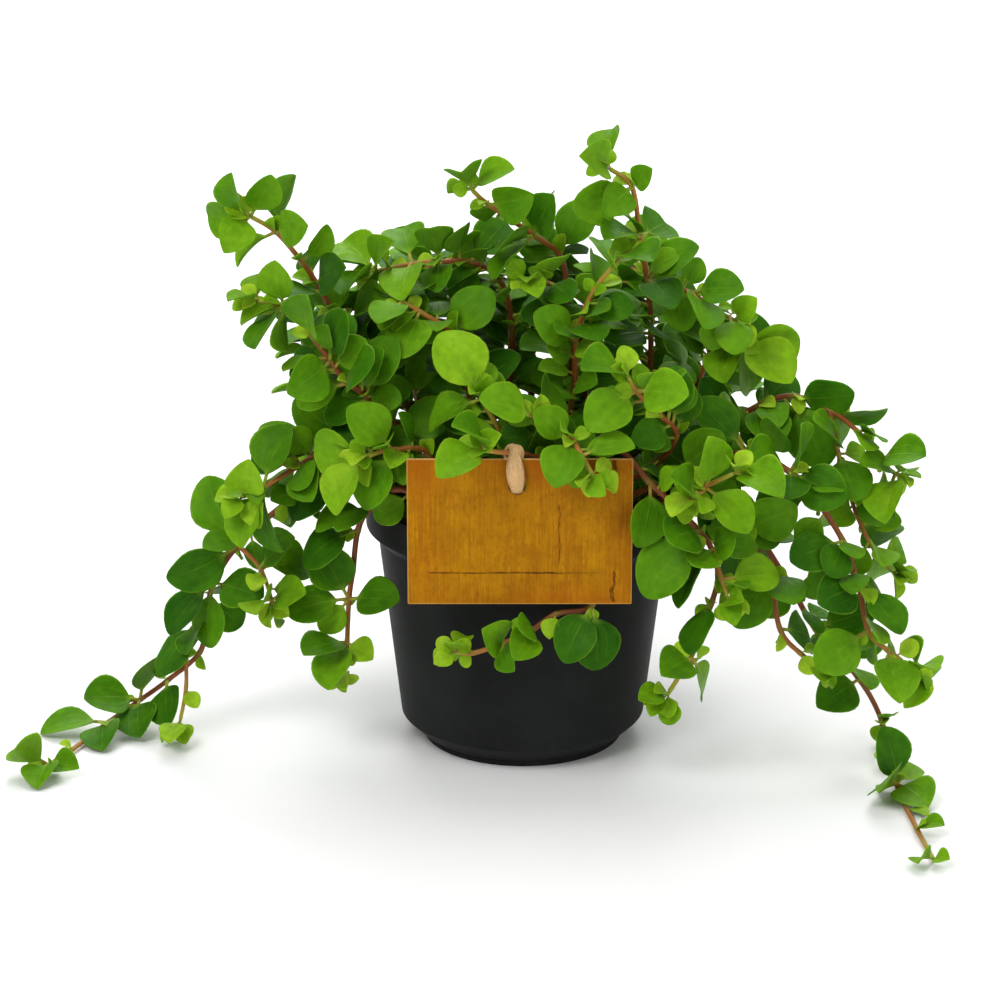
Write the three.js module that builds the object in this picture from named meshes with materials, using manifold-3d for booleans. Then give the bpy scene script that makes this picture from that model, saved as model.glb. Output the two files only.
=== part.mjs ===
// A potted peperomia: a round black nursery pot filled with soil, leafy stems that rise, arch and trail
// out of it, and a flat tag that hangs on a raffia tie in front of the rim.
//
// Millimetres, +Z up. The origin is the middle of the pot's foot, on the surface that it stands on.
// The front is -Y.

import * as THREE from 'three';
import * as BufferGeometryUtils from 'three/addons/utils/BufferGeometryUtils.js';
import Module from 'manifold-3d';

const wasm = await Module();
wasm.setup();

// ---------- Driving dimensions ----------

const gap = 0.3; // between pieces that touch

const pot = {
  height: 98,
  rimRadius: 60,
  bandFoot: 86, // lowest edge of the rim band
  shoulderRadius: 55.4, // the wall under the rim band
  shoulderHeight: 81.6,
  heelRadius: 47, // where the tapered wall meets the chamfer of the heel
  heelHeight: 9.8,
  footRadius: 38.4,
  chamferTop: 7.8, // heights where the chamfer starts and ends
  chamferFoot: 3.6,
  wall: 1.6,
  floor: 4.4, // top of the pot's floor
  recess: 2.5, // height of the floor's underside above the surface
  padRadius: 12, // the flat pad in the middle of the floor
  drains: 6,
  drainRadius: 3.5,
  drainCircle: 22,
  facets: 28,
};

const soil = { top: 89.5, crown: 1.2, lump: 0.8 };

const foot = { depth: 9, hole: 2.4, radius: 1.5 }; // a stem's foot, in its plain hole in the soil

const tag = {
  left: -42.6, right: 39.4, low: 74.7, high: 130.5,
  back: -61.6, thickness: 0.9,
  corner: 0.8,
  holeX: -2.6, holeDrop: 10.6, holeRadius: 3,
};

const tie = { thickness: 1.8, width: 3.4, knot: 3.2, reach: 3.1 };

const leafForm = {
  length: 26, // petiole and blade of a full-grown leaf
  petiole: 0.19, // share of that length
  root: 0.42, // half width of the petiole where it leaves the stem's core
  neck: 0.62, // and where it meets the blade
  width: 0.92, // widest part of the blade, as a share of the blade's length
  keel: 0.7, // how far the midrib stands out under the blade
  arch: 0.07, // how far the midrib bows up, as a share of the length
  cup: 0.06, // how far the edges lift, as a share of the half width
  small: 0.72, // below this share of the full length a leaf is drawn with fewer sections
};

// A stem thins from its foot to its tip, and a shoot likewise; a ring stands at least at every reach.
const stemForm = { thick: 1.5, thin: 0.95, shoot: 1.05, fine: 0.8, sides: 4, reach: 32, sample: 2.5 };

const habit = {
  spiral: 1.25, // turn from one pair of leaves to the next, in radians
  scatter: 0.9, // how far a leaf swings from its place in the pair
  roll: 0.9, // and how far it rolls about its own midrib
  start: 0.35, // where the first pair stands
  outward: 0.92, // a leaf's direction: away from the stem,
  forward: [0.25, 0.65], // towards the stem's tip,
  lift: 0.12, // and up
  sizes: [0.86, 1.06],
  widths: [0.92, 1.04],
  young: [0.66, 0.84, 0.94], // growth at the last three nodes of a stem
  dropped: 0.45, // draws below this lose the second leaf of a pair
  leaning: 0.92, // leaves of the outline, as a share of the full length
  broadest: 1.06, // and their greatest length for the width
};

// Upper faces look up, outward, and to the front or the back, whichever side they are on.
const light = { sideways: 0.004, divide: 22, depth: 70, front: -0.62, back: 0.5, up: 0.7, low: 16 };

// Space kept from other stems, from leaves of the same stem, between leaves of one tuft, and from walls.
const clearance = { others: 3.1, own: 2.2, tuft: 1.2, wall: 1.4, floor: 0.8 };

// The view that the stems were laid out in: a 1000 x 1000 frame, u to the right and v down.
const view = { elevation: 18.5, distance: 1300, aim: [-8.8, 0, 94], focal: 3403, middle: 500 };

// ---------- Points of the view ----------

const tilt = THREE.MathUtils.degToRad(view.elevation);
const sight = new THREE.Vector3(0, Math.cos(tilt), -Math.sin(tilt));
const overhead = new THREE.Vector3(0, Math.sin(tilt), Math.cos(tilt));
const eye = new THREE.Vector3(...view.aim).addScaledVector(sight, -view.distance);
const up = new THREE.Vector3(0, 0, 1);

function ray(u, v) {
  const direction = sight.clone().addScaledVector(overhead, (view.middle - v) / view.focal);
  direction.x += (u - view.middle) / view.focal;
  return direction;
}

/** The point seen at (u, v) that lies at the depth y. */
function seen(u, v, y) {
  const direction = ray(u, v);
  return eye.clone().addScaledVector(direction, (y - eye.y) / direction.y);
}

/** The point seen at (u, v) that lies at the height z. */
function lying(u, v, z) {
  const direction = ray(u, v);
  return eye.clone().addScaledVector(direction, (z - eye.z) / direction.z);
}

// ---------- Random draws, seeded for each stem ----------

function draws(seed) {
  let state = seed >>> 0;
  return () => {
    state = (state + 0x6d2b79f5) >>> 0;
    let mixed = Math.imul(state ^ (state >>> 15), state | 1);
    mixed ^= mixed + Math.imul(mixed ^ (mixed >>> 7), mixed | 61);
    return ((mixed ^ (mixed >>> 14)) >>> 0) / 4294967296;
  };
}

// ---------- Solids ----------

function solidOf(geometry) {
  const bare = geometry.index ? geometry.toNonIndexed() : geometry.clone();
  bare.deleteAttribute('normal');
  bare.deleteAttribute('uv');
  const merged = BufferGeometryUtils.mergeVertices(bare, 1e-4);
  return new wasm.Manifold(new wasm.Mesh({
    numProp: 3,
    vertProperties: merged.attributes.position.array,
    triVerts: new Uint32Array(merged.index.array),
  }));
}

function meshOf(name, solid, material) {
  const data = solid.getMesh();
  const geometry = new THREE.BufferGeometry();
  geometry.setAttribute('position', new THREE.BufferAttribute(Float32Array.from(data.vertProperties), 3));
  geometry.setIndex(new THREE.BufferAttribute(Uint32Array.from(data.triVerts), 1));
  geometry.computeVertexNormals();
  const mesh = new THREE.Mesh(geometry, material);
  mesh.name = name;
  return mesh;
}

/** A closed skin over rings of equal size: the ends are flat caps, or the last ring is one point,
 * or the last ring joins the first. The rings turn counter-clockwise seen from the far end. */
function skin(rings, end = 'cap') {
  const sides = rings[0].length;
  const triangles = [];
  const bands = end === 'loop' ? rings.length : rings.length - 1;
  for (let k = 0; k < bands; k += 1) {
    const here = rings[k];
    const next = rings[(k + 1) % rings.length];
    for (let i = 0; i < sides; i += 1) {
      const j = (i + 1) % sides;
      if (next.length === 1) {
        triangles.push(here[i], here[j], next[0]);
      } else {
        triangles.push(here[i], here[j], next[j], here[i], next[j], next[i]);
      }
    }
  }
  if (end !== 'loop') {
    const first = rings[0];
    for (let i = 1; i < sides - 1; i += 1) {
      triangles.push(first[0], first[i + 1], first[i]);
    }
  }
  if (end === 'cap') {
    const last = rings[rings.length - 1];
    for (let i = 1; i < sides - 1; i += 1) {
      triangles.push(last[0], last[i], last[i + 1]);
    }
  }
  return new THREE.BufferGeometry().setFromPoints(triangles);
}

function ringAround(centre, across, over, halfWidth, halfHeight, sides) {
  const ring = [];
  for (let i = 0; i < sides; i += 1) {
    const angle = (i / sides) * Math.PI * 2;
    ring.push(centre.clone()
      .addScaledVector(across, Math.cos(angle) * halfWidth)
      .addScaledVector(over, Math.sin(angle) * halfHeight));
  }
  return ring;
}

// ---------- Pot, soil, tag and tie ----------

const materials = {
  pot: new THREE.MeshStandardMaterial({ color: 0x1d1f1e, roughness: 0.5, metalness: 0 }),
  soil: new THREE.MeshStandardMaterial({ color: 0x2e2118, roughness: 0.95, metalness: 0 }),
  tag: new THREE.MeshStandardMaterial({ color: 0xb5731c, roughness: 0.6, metalness: 0 }),
  tie: new THREE.MeshStandardMaterial({ color: 0xc08a4e, roughness: 0.8, metalness: 0 }),
  leaf: new THREE.MeshStandardMaterial({ color: 0x3f7a1c, roughness: 0.45, metalness: 0 }),
};

/** Radius of the pot's outside at a height, for keeping leaves and stems clear of it. */
function potRadius(z) {
  if (z > pot.shoulderHeight) {
    return pot.rimRadius;
  }
  const rise = Math.max(0, z - pot.heelHeight) / (pot.shoulderHeight - pot.heelHeight);
  return pot.heelRadius + (pot.shoulderRadius - pot.heelRadius) * rise;
}

function makePot() {
  const flare = pot.bandFoot - pot.shoulderHeight;
  const profile = [
    [0, 0],
    [pot.padRadius, 0],
    [pot.padRadius + 0.6, pot.recess],
    [pot.footRadius - 4.3, pot.recess],
    [pot.footRadius - 3.7, 0],
    [pot.footRadius, 0],
    [pot.footRadius + 0.4, pot.recess],
    [pot.footRadius + 2.2, pot.chamferFoot],
    [pot.heelRadius - 2, pot.chamferTop],
    [pot.heelRadius, pot.heelHeight],
    [pot.shoulderRadius, pot.shoulderHeight],
    [pot.rimRadius, pot.bandFoot],
    [pot.rimRadius, pot.height],
    [pot.rimRadius - pot.wall, pot.height],
    [pot.rimRadius - pot.wall - 0.3, pot.bandFoot],
    [pot.shoulderRadius - pot.wall, pot.bandFoot - flare],
    [pot.heelRadius - pot.wall, pot.heelHeight + 0.8],
    [pot.heelRadius - 3.1, pot.chamferTop + 1.2],
    [pot.footRadius + 0.7, pot.floor],
    [0, pot.floor],
  ].map(([r, z]) => new THREE.Vector2(r, z));
  let shell = solidOf(new THREE.LatheGeometry(profile, pot.facets).rotateX(Math.PI / 2));
  for (let k = 0; k < pot.drains; k += 1) {
    const angle = (k / pot.drains) * Math.PI * 2;
    const drain = new THREE.CylinderGeometry(pot.drainRadius, pot.drainRadius, pot.floor * 2, 6)
      .rotateX(Math.PI / 2)
      .translate(pot.drainCircle * Math.cos(angle), pot.drainCircle * Math.sin(angle), pot.floor / 2);
    shell = shell.subtract(solidOf(drain));
  }
  return meshOf('pot', shell, materials.pot);
}

/** Height of the soil's lumpy top. */
function soilHeight(x, y) {
  const edge = Math.hypot(x, y) / pot.rimRadius;
  const lumps = Math.sin(x * 0.21 + y * 0.07) * Math.cos(y * 0.19 - x * 0.05);
  return soil.top + soil.crown * (1 - edge * edge) + soil.lump * lumps * (1 - edge ** 4);
}

function makeSoil(feet) {
  const flare = pot.bandFoot - pot.shoulderHeight;
  const profile = [
    [0, pot.floor + gap],
    [pot.footRadius + 0.5, pot.floor + gap],
    [pot.heelRadius - 3.3, pot.chamferTop + 1.5],
    [pot.heelRadius - pot.wall - 0.3, pot.heelHeight + 1.1],
    [pot.shoulderRadius - pot.wall - 0.3, pot.bandFoot - flare + 0.2],
    [pot.rimRadius - pot.wall - 0.75, pot.bandFoot + 0.25],
    [pot.rimRadius - pot.wall - 0.65, soil.top],
    [pot.rimRadius * 0.68, soil.top],
    [pot.rimRadius * 0.34, soil.top],
    [0, soil.top],
  ].map(([r, z]) => new THREE.Vector2(r, z));
  const geometry = new THREE.LatheGeometry(profile, pot.facets).rotateX(Math.PI / 2);
  const position = geometry.attributes.position;
  for (let i = 0; i < position.count; i += 1) {
    if (position.getZ(i) > soil.top - 0.1) {
      position.setZ(i, soilHeight(position.getX(i), position.getY(i)));
    }
  }
  let plug = solidOf(geometry);
  for (const [x, y] of feet) {
    const hole = new THREE.CylinderGeometry(foot.hole, foot.hole, foot.depth * 2, 5)
      .rotateX(Math.PI / 2)
      .translate(x, y, soilHeight(x, y));
    plug = plug.subtract(solidOf(hole));
  }
  return meshOf('soil', plug, materials.soil);
}

function makeTag() {
  const outline = new THREE.Shape();
  outline.moveTo(tag.left + tag.corner, tag.low);
  outline.lineTo(tag.right - tag.corner, tag.low);
  outline.lineTo(tag.right, tag.low + tag.corner);
  outline.lineTo(tag.right, tag.high - tag.corner);
  outline.lineTo(tag.right - tag.corner, tag.high);
  outline.lineTo(tag.left + tag.corner, tag.high);
  outline.lineTo(tag.left, tag.high - tag.corner);
  outline.lineTo(tag.left, tag.low + tag.corner);
  const hole = new THREE.Path();
  hole.absarc(tag.holeX, tag.high - tag.holeDrop, tag.holeRadius, 0, Math.PI * 2, true);
  outline.holes.push(hole);
  const card = new THREE.ExtrudeGeometry(outline, {
    depth: tag.thickness, bevelEnabled: false, curveSegments: 8,
  });
  card.rotateX(Math.PI / 2).translate(0, tag.back, 0);
  return meshOf('tag', solidOf(card), materials.tag);
}

/** The raffia: a flat loop through the tag's hole that closes in a knot round the stem above it. */
function makeTie(carrier) {
  const crossing = carrier.point;
  const along = carrier.direction;
  const half = tie.thickness / 2;
  const low = tag.high - tag.holeDrop + tag.holeRadius - gap - half;
  const high = crossing.z + foot.radius + gap + half;
  const middle = new THREE.Vector3(tag.holeX, tag.back - tag.thickness / 2, (low + high) / 2);
  const rings = [];
  const count = 10;
  for (let k = 0; k < count; k += 1) {
    const angle = (k / count) * Math.PI * 2;
    const outward = new THREE.Vector3(0, Math.sin(angle), -Math.cos(angle));
    const centre = middle.clone();
    centre.y += Math.sin(angle) * tie.reach;
    centre.z -= Math.cos(angle) * (high - low) / 2;
    const lean = THREE.MathUtils.clamp((centre.z - low) / (high - low), 0, 1);
    centre.x += (crossing.x - tag.holeX) * lean;
    rings.push(ringAround(centre, new THREE.Vector3(1, 0, 0), outward, tie.width / 2, half, 4));
  }
  let raffia = solidOf(skin(rings, 'loop'));
  const knot = new THREE.SphereGeometry(tie.knot, 7, 5)
    .scale(1.15, 1, 0.62)
    .translate(crossing.x, crossing.y, crossing.z + 0.35);
  raffia = raffia.add(solidOf(knot));
  const bore = new THREE.CylinderGeometry(carrier.radius + gap, carrier.radius + gap, 16, 6)
    .applyQuaternion(new THREE.Quaternion().setFromUnitVectors(new THREE.Vector3(0, 1, 0), along))
    .translate(crossing.x, crossing.y, crossing.z);
  return meshOf('tag_tie', raffia.subtract(solidOf(bore)), materials.tie);
}

// ---------- Room: which space is taken, so that no leaf crosses another stem or its leaves ----------

class Room {
  constructor(cell) {
    this.cell = cell;
    this.taken = new Map();
  }

  key(i, j, k) {
    return `${i},${j},${k}`;
  }

  add(points, owner, axis) {
    for (const point of points) {
      const key = this.key(...point.toArray().map((value) => Math.floor(value / this.cell)));
      if (!this.taken.has(key)) {
        this.taken.set(key, []);
      }
      this.taken.get(key).push({ point, owner, axis });
    }
  }

  /** Whether every point keeps clear of other stems and, by the distance given, of its own stem's leaves. */
  free(points, owner, own) {
    for (const point of points) {
      const [i, j, k] = point.toArray().map((value) => Math.floor(value / this.cell));
      for (let n = 0; n < 27; n += 1) {
        const key = this.key(i + (n % 3) - 1, j + (Math.floor(n / 3) % 3) - 1, k + Math.floor(n / 9) - 1);
        for (const other of this.taken.get(key) ?? []) {
          const isOwn = other.owner === owner;
          const least = isOwn ? own : clearance.others;
          if (!(isOwn && other.axis) && point.distanceTo(other.point) < least) {
            return false;
          }
        }
      }
    }
    return true;
  }
}

/** Whether a point is in the surface below, the pot, the soil or the tag, or too near them. */
function blocked(point) {
  const { x, y, z } = point;
  const radius = Math.hypot(x, y);
  const near = clearance.wall;
  if (z < clearance.floor) {
    return true;
  }
  const inMouth = radius < pot.rimRadius - pot.wall - near && z > soil.top + soil.crown + near;
  if (z < pot.height + near && radius < potRadius(z) + near && !inMouth) {
    return true;
  }
  return x > tag.left - near && x < tag.right + near && z > tag.low - near && z < tag.high + near
    && y > tag.back - tag.thickness - near && y < tag.back + near;
}

// ---------- Leaf ----------

/** Half width of the blade at t, from its base (0) to its tip (1), as a share of the full half width. */
function bladeOutline(t) {
  return t <= 0 || t >= 1 ? 0 : Math.sin(Math.PI * t ** 0.9) ** 0.6;
}

/** A leaf from its foot to its tip: direction, the way that its upper face looks, and its sizes. */
function makeLeaf(start, direction, face, length, width) {
  const along = direction.clone().normalize();
  const normal = face.clone().addScaledVector(along, -face.dot(along)).normalize();
  return { start, along, normal, side: along.clone().cross(normal), length, width };
}

/** A point of the leaf's middle surface: t along the blade (below 0 on the petiole), a across it. */
function leafPoint(leaf, t, a) {
  const share = leafForm.petiole + (1 - leafForm.petiole) * t;
  const half = (leaf.width / 2) * bladeOutline(t);
  const height = leafForm.arch * leaf.length * 4 * share * (1 - share) + leafForm.cup * half * a * a;
  return leaf.start.clone()
    .addScaledVector(leaf.along, share * leaf.length)
    .addScaledVector(leaf.side, a * half)
    .addScaledVector(leaf.normal, height);
}

const leafRows = [0.04, 0.2, 0.36, 0.52, 0.68, 0.84, 0.97];
const leafColumns = [-1, -0.67, -0.33, 0, 0.33, 0.67, 1];

function leafPoints(leaf) {
  return leafRows.flatMap((t) => leafColumns.map((a) => leafPoint(leaf, t, a)));
}

function leafGeometry(leaf) {
  const section = (t, halfWidth, depth, lift) => {
    const middle = leafPoint(leaf, t, 0);
    return [
      middle.clone().addScaledVector(leaf.side, -halfWidth).addScaledVector(leaf.normal, lift),
      middle.clone().addScaledVector(leaf.side, halfWidth).addScaledVector(leaf.normal, lift),
      middle.clone().addScaledVector(leaf.normal, -depth),
    ];
  };
  const blade = (t) => {
    const half = (leaf.width / 2) * bladeOutline(t);
    return section(t, half, leafForm.keel, leafForm.cup * half);
  };
  const foot = -leafForm.petiole / (1 - leafForm.petiole);
  const petiole = (t, size) => section(t, size, size, size * 0.5);
  const isSmall = leaf.length < leafForm.length * leafForm.small;
  return skin([
    petiole(foot, leafForm.root),
    ...(isSmall ? [blade(0.45)] : [petiole(0, leafForm.neck), blade(0.33), blade(0.72)]),
    [leafPoint(leaf, 1, 0)],
  ], 'point');
}

// ---------- The stems, each with its route, side shoots and the leaves that give its outline ----------
// A leaf is [route point that it grows from, u and v of its tip, turn about its midrib, size].
// No leaves are added by rule at the route points that `plain` names.

const stems = [
  {
    name: 'stem_top_left',
    at: [-26, 6],
    route: [seen(425, 440, 2), seen(380, 362, -6), seen(336, 314, -10), seen(317, 284, -12),
      seen(302, 262, -14), seen(276, 232, -16), seen(250, 216, -18)],
    leaves: [[6, 228, 178, 10, 0.9], [6, 208, 216, -50, 0.8], [6, 225, 249, -40, 0.8], [6, 271, 175, 80, 0.8],
      [5, 294, 174, -88, 0.9], [5, 234, 263, 30, 0.8], [5, 306, 224, 40, 0.8], [4, 329, 226, 95, 0.7],
      [3, 344, 268, 30]],
    plain: [4, 5, 6],
  },
  {
    name: 'stem_left_shoulder',
    at: [-34, -8],
    route: [seen(408, 440, -20), seen(366, 396, -34), seen(348, 383, -37), seen(330, 361, -38),
      seen(312, 336, -38), seen(285, 307, -36), seen(258, 301, -34)],
    leaves: [[3, 291, 392, -60], [3, 345, 312], [5, 257, 350, 30], [5, 284, 348, 60, 0.8],
      [5, 274, 260, 0, 0.8], [5, 239, 320, 0, 0.7], [6, 229, 298, 20, 0.6], [6, 255, 276, 10, 0.6]],
  },
  {
    name: 'stem_top_shelf',
    at: [-10, 16],
    route: [seen(508, 400, 16), seen(512, 330, 14), seen(500, 280, 10), seen(470, 262, 6),
      seen(440, 262, 2), seen(412, 264, 0), seen(376, 271, -2)],
    leaves: [[6, 344, 243], [6, 388, 240, 30, 0.8], [6, 332, 258, 50, 0.5], [6, 340, 292, 20],
      [5, 402, 224], [4, 430, 230, 0, 0.9], [4, 484, 243, 80], [3, 508, 224, 30], [5, 400, 296, 10],
      [2, 452, 300, 20]],
    plain: [5, 6],
  },
  {
    name: 'stem_inner_left',
    at: [-16, -4],
    route: [seen(470, 400, -8), seen(452, 337, -14), seen(420, 312, -18), seen(401, 301, -20)],
    leaves: [[3, 346, 308, 10], [3, 425, 285, 20, 0.8], [2, 403, 358]],
  },
  {
    name: 'stem_top_centre',
    at: [2, 8],
    route: [seen(562, 420, 10), seen(572, 350, 6), seen(567, 290, 2), seen(560, 256, 0),
      seen(535, 236, -2), seen(488, 204, -5), seen(472, 190, -6)],
    leaves: [[6, 462, 168, 20, 0.9], [6, 449, 188, 60, 0.6], [6, 512, 166, 0, 0.8], [5, 532, 196, 80, 0.9],
      [5, 487, 222, 0, 0.7], [4, 554, 197, 80], [4, 494, 252, 55], [4, 497, 280, 20], [2, 548, 306, 10],
      [1, 521, 346]],
    plain: [5, 6],
    shoots: [{
      from: 2,
      route: [seen(545, 282, -8), seen(526, 280, -12)],
      leaves: [[1, 505, 273, 0, 0.6], [1, 540, 294, 0, 0.6], [1, 502, 300, 20, 0.7]],
    }],
  },
  {
    name: 'stem_top_right',
    at: [16, 4],
    route: [seen(610, 440, 2), seen(645, 390, 0), seen(651, 334, -4), seen(647, 280, -8),
      seen(640, 238, -10), seen(632, 187, -12), seen(609, 168, -12)],
    leaves: [[6, 580, 156, -40, 0.9], [6, 612, 127, -40, 0.8], [5, 650, 170, 75, 0.6], [5, 572, 208, -60],
      [5, 605, 212, -20, 0.8],
      [4, 606, 232, 20], [4, 666, 226, 10], [4, 626, 214, 30, 0.6], [3, 698, 246], [3, 672, 306, 10],
      [2, 604, 340], [2, 690, 352, 20]],
    plain: [5, 6],
    shoots: [{
      from: 3,
      route: [seen(672, 287, -12), seen(692, 293, -14), seen(714, 309, -16), seen(735, 320, -18)],
      leaves: [[1, 744, 288, 20, 0.9], [3, 754, 299, 30, 0.6], [3, 744, 322, 20, 0.5], [1, 702, 328, -20]],
      plain: [0, 2, 3],
    }],
  },
  {
    name: 'stem_top_inner',
    at: [8, -8],
    route: [seen(572, 400, -14), seen(576, 340, -18), seen(592, 294, -20), seen(622, 256, -22)],
    leaves: [[3, 655, 262]],
  },
  {
    name: 'stem_right_upper',
    at: [26, 12],
    route: [seen(650, 440, 8), seen(690, 400, 2), seen(712, 350, -4), seen(735, 342, -8)],
    leaves: [[2, 672, 325], [3, 724, 380, 50], [3, 786, 392, 20], [3, 803, 348, 60], [3, 748, 392, 20]],
  },
  {
    name: 'stem_right_shelf',
    at: [34, 4],
    route: [seen(672, 458, -2), seen(725, 425, -8), seen(760, 405, -14), seen(793, 396, -18),
      seen(830, 410, -24), seen(859, 433, -28), seen(878, 460, -32), seen(896, 474, -34)],
    leaves: [[3, 853, 396, 80], [3, 828, 466, 30], [2, 772, 448, 20], [4, 888, 412, 80, 0.8],
      [6, 926, 456, 30], [7, 884, 523, 60], [7, 911, 468, 30, 0.6], [7, 862, 462, 20, 0.8]],
    plain: [5, 6, 7],
    shoots: [{
      from: 4,
      route: [seen(838, 452, -28), seen(848, 488, -32), seen(858, 518, -34), seen(872, 546, -36),
        seen(893, 573, -38)],
      leaves: [[0, 816, 420, 20], [0, 855, 503, 30], [2, 893, 535, 80], [2, 827, 514, -70], [3, 880, 582, 50],
        [3, 886, 563, 0, 0.8], [4, 912, 570, 10, 0.6], [4, 899, 586, 10, 0.5]],
      plain: [3, 4],
    }],
  },
  {
    name: 'stem_right_middle',
    at: [38, -12],
    route: [seen(684, 478, -24), seen(745, 452, -38), seen(790, 472, -44), seen(813, 496, -47),
      seen(843, 541, -50), seen(859, 587, -54), seen(868, 630, -58), seen(887, 650, -60),
      seen(915, 672, -62)],
    leaves: [[1, 692, 402], [2, 845, 499, 45], [3, 775, 510, -40], [2, 800, 424, 20], [4, 792, 560],
      [4, 857, 558, 10, 0.6], [5, 820, 600], [5, 900, 636], [6, 816, 668], [7, 897, 703, 20],
      [8, 938, 666, 50, 0.8], [8, 930, 682, 40, 0.7], [8, 915, 700, 0, 0.7], [8, 906, 642, 50, 0.8]],
    plain: [7, 8],
  },
  {
    name: 'stem_right_low',
    at: [30, -26],
    route: [seen(690, 496, -32), seen(740, 530, -44), seen(768, 572, -48), seen(780, 629, -50),
      seen(800, 653, -50), seen(820, 666, -50)],
    leaves: [[1, 732, 586], [1, 800, 522, 40], [2, 738, 628], [2, 792, 606, 10], [3, 810, 640],
      [5, 834, 655, 30, 0.6], [5, 826, 682, 30, 0.6]],
    plain: [3, 4],
  },
  {
    name: 'stem_right_trail',
    at: [46, 4],
    route: [seen(685, 474, 0), seen(745, 520, -6), seen(788, 582, -10), seen(816, 630, -12),
      seen(859, 679, -12), seen(882, 722, -14), lying(897, 785, 1.7), lying(917, 829, 1.5),
      lying(933, 859, 1.5)],
    leaves: [[2, 802, 600, 60, 0.5], [4, 820, 706], [5, 893, 716, 0, 0.5], [6, 884, 730, -75],
      [6, 897, 816, 50, 0.7], [6, 916, 762, 40, 0.7], [6, 930, 806, 40, 0.6], [7, 944, 824, 20, 0.5],
      [8, 950, 859, 60, 0.4], [8, 920, 868, 40, 0.4]],
    plain: [5.5, 6, 6.5, 7, 7.5, 8],
  },
  {
    name: 'stem_right_face',
    at: [14, -18],
    route: [seen(650, 468, -36), seen(676, 436, -47), seen(660, 415, -52), seen(636, 391, -55),
      seen(628, 377, -56)],
    leaves: [[3, 589, 430], [4, 580, 368, 20], [3, 688, 397, 30]],
  },
  {
    name: 'stem_right_whorl',
    at: [24, -20],
    route: [seen(680, 475, -46), seen(704, 487, -64), seen(692, 498, -70)],
    leaves: [[1, 716, 440, 10], [1, 752, 530], [2, 672, 478, 0, 0.8], [2, 670, 517, 30, 0.6],
      [2, 700, 518, 0, 0.7]],
    shoots: [{
      from: 1,
      route: [seen(735, 473, -68)],
      leaves: [[0, 782, 492, 10], [0, 780, 450, 20]],
    }],
  },
  {
    name: 'stem_right_hook',
    at: [20, -32],
    route: [seen(608, 447, -50), seen(650, 483, -58), seen(671, 502, -60), seen(699, 531, -62),
      seen(712, 550, -62), seen(718, 575, -62), seen(712, 602, -62), seen(697, 642, -60),
      seen(691, 657, -58), seen(668, 694, -56)],
    leaves: [[1, 642, 548], [3, 668, 540], [3, 641, 594, 10], [4, 674, 606, 60, 0.8], [4, 736, 538, 60, 0.7],
      [4, 690, 566, 10, 0.8], [6, 690, 650, 60], [8, 661, 676, 0, 0.9], [8, 704, 697, -20, 0.9],
      [9, 638, 699, 10, 0.6], [9, 668, 713, 10, 0.4], [9, 656, 690, 20, 0.4]],
    plain: [5, 6, 7, 8],
    shoots: [{
      from: 4,
      route: [seen(722, 580, -67), seen(728, 598, -69)],
      leaves: [[1, 742, 600, 60, 0.5], [1, 722, 604, 20, 0.4]],
    }],
  },
  {
    name: 'stem_tag_right',
    at: [12, -36],
    route: [seen(566, 462, -50), seen(570, 438, -60), seen(582, 456, -68), seen(592, 474, -70)],
    leaves: [[1, 561, 430, 0, 0.5], [1, 556, 486, 0, 0.9], [0, 598, 440], [3, 575, 470, 20, 0.5],
      [3, 598, 487, 60, 0.5], [3, 607, 468, 20, 0.4]],
  },
  {
    name: 'stem_tag_centre',
    at: [4, -22],
    route: [seen(545, 455, -40), seen(536, 419, -52)],
    leaves: [[1, 479, 400], [1, 555, 381, 50], [1, 540, 457, 0, 0.9]],
  },
  {
    name: 'stem_tag_left',
    at: [-4, -36],
    route: [seen(546, 468, -48), seen(530, 456, -57), seen(514, 453, -62), seen(498, 452, -65),
      seen(484, 450, -67)],
    bare: 4,
    leaves: [[4, 437, 474], [4, 457, 424, 20, 0.9], [4, 470, 416, 50, 0.8], [4, 498, 433, 10, 0.5]],
  },
  {
    name: 'stem_crown_front',
    at: [-10, -20],
    route: [seen(505, 450, -38), seen(482, 399, -46)],
    leaves: [[1, 443, 331], [1, 431, 430]],
  },
  {
    name: 'stem_front_small',
    at: [16, -40],
    route: [seen(600, 505, -56), seen(601, 560, -59.2), seen(592, 605, -58), seen(556, 614, -59),
      seen(532, 630, -60), seen(504, 643, -61), seen(473, 653, -62), seen(455, 652, -63)],
    bare: 2,
    leaves: [[2, 600, 670], [2, 562, 660], [4, 514, 606, 0, 0.8], [4, 516, 657, 0, 0.8],
      [5, 485, 630, -60, 0.8], [5, 494, 656, 20, 0.8], [7, 451, 641, 0, 0.5],
      [7, 466, 635, 0, 0.5], [7, 454, 659, 20, 0.5]],
    plain: [3, 4, 5, 6, 7],
  },
  {
    name: 'stem_left_hanging',
    at: [-28, -34],
    route: [seen(405, 490, -36), seen(371, 508, -27), seen(358, 530, -23), seen(353, 570, -22),
      seen(349, 599, -21), seen(347, 643, -20), seen(345, 672, -19)],
    bare: 2,
    leaves: [[1, 314, 526, 20, 0.9], [2, 300, 560, 10], [4, 320, 545], [4, 287, 612], [4, 400, 603],
      [4, 320, 632, -40, 0.7],
      [5, 307, 652], [5, 325, 684, 10], [5, 373, 658, 0, 0.7], [6, 345, 689, 20, 0.5]],
    plain: [3, 4, 5, 6],
  },
  {
    name: 'stem_left_trail',
    at: [-42, -14],
    route: [seen(385, 446, -18), seen(339, 469, -20), seen(290, 500, -18), seen(238, 545, -12),
      seen(214, 583, -8), seen(205, 620, -4), seen(200, 652, 0), seen(168, 680, 6), seen(140, 700, 7),
      lying(107, 723, 3), lying(73, 749, 2), lying(48, 765, 2)],
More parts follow.
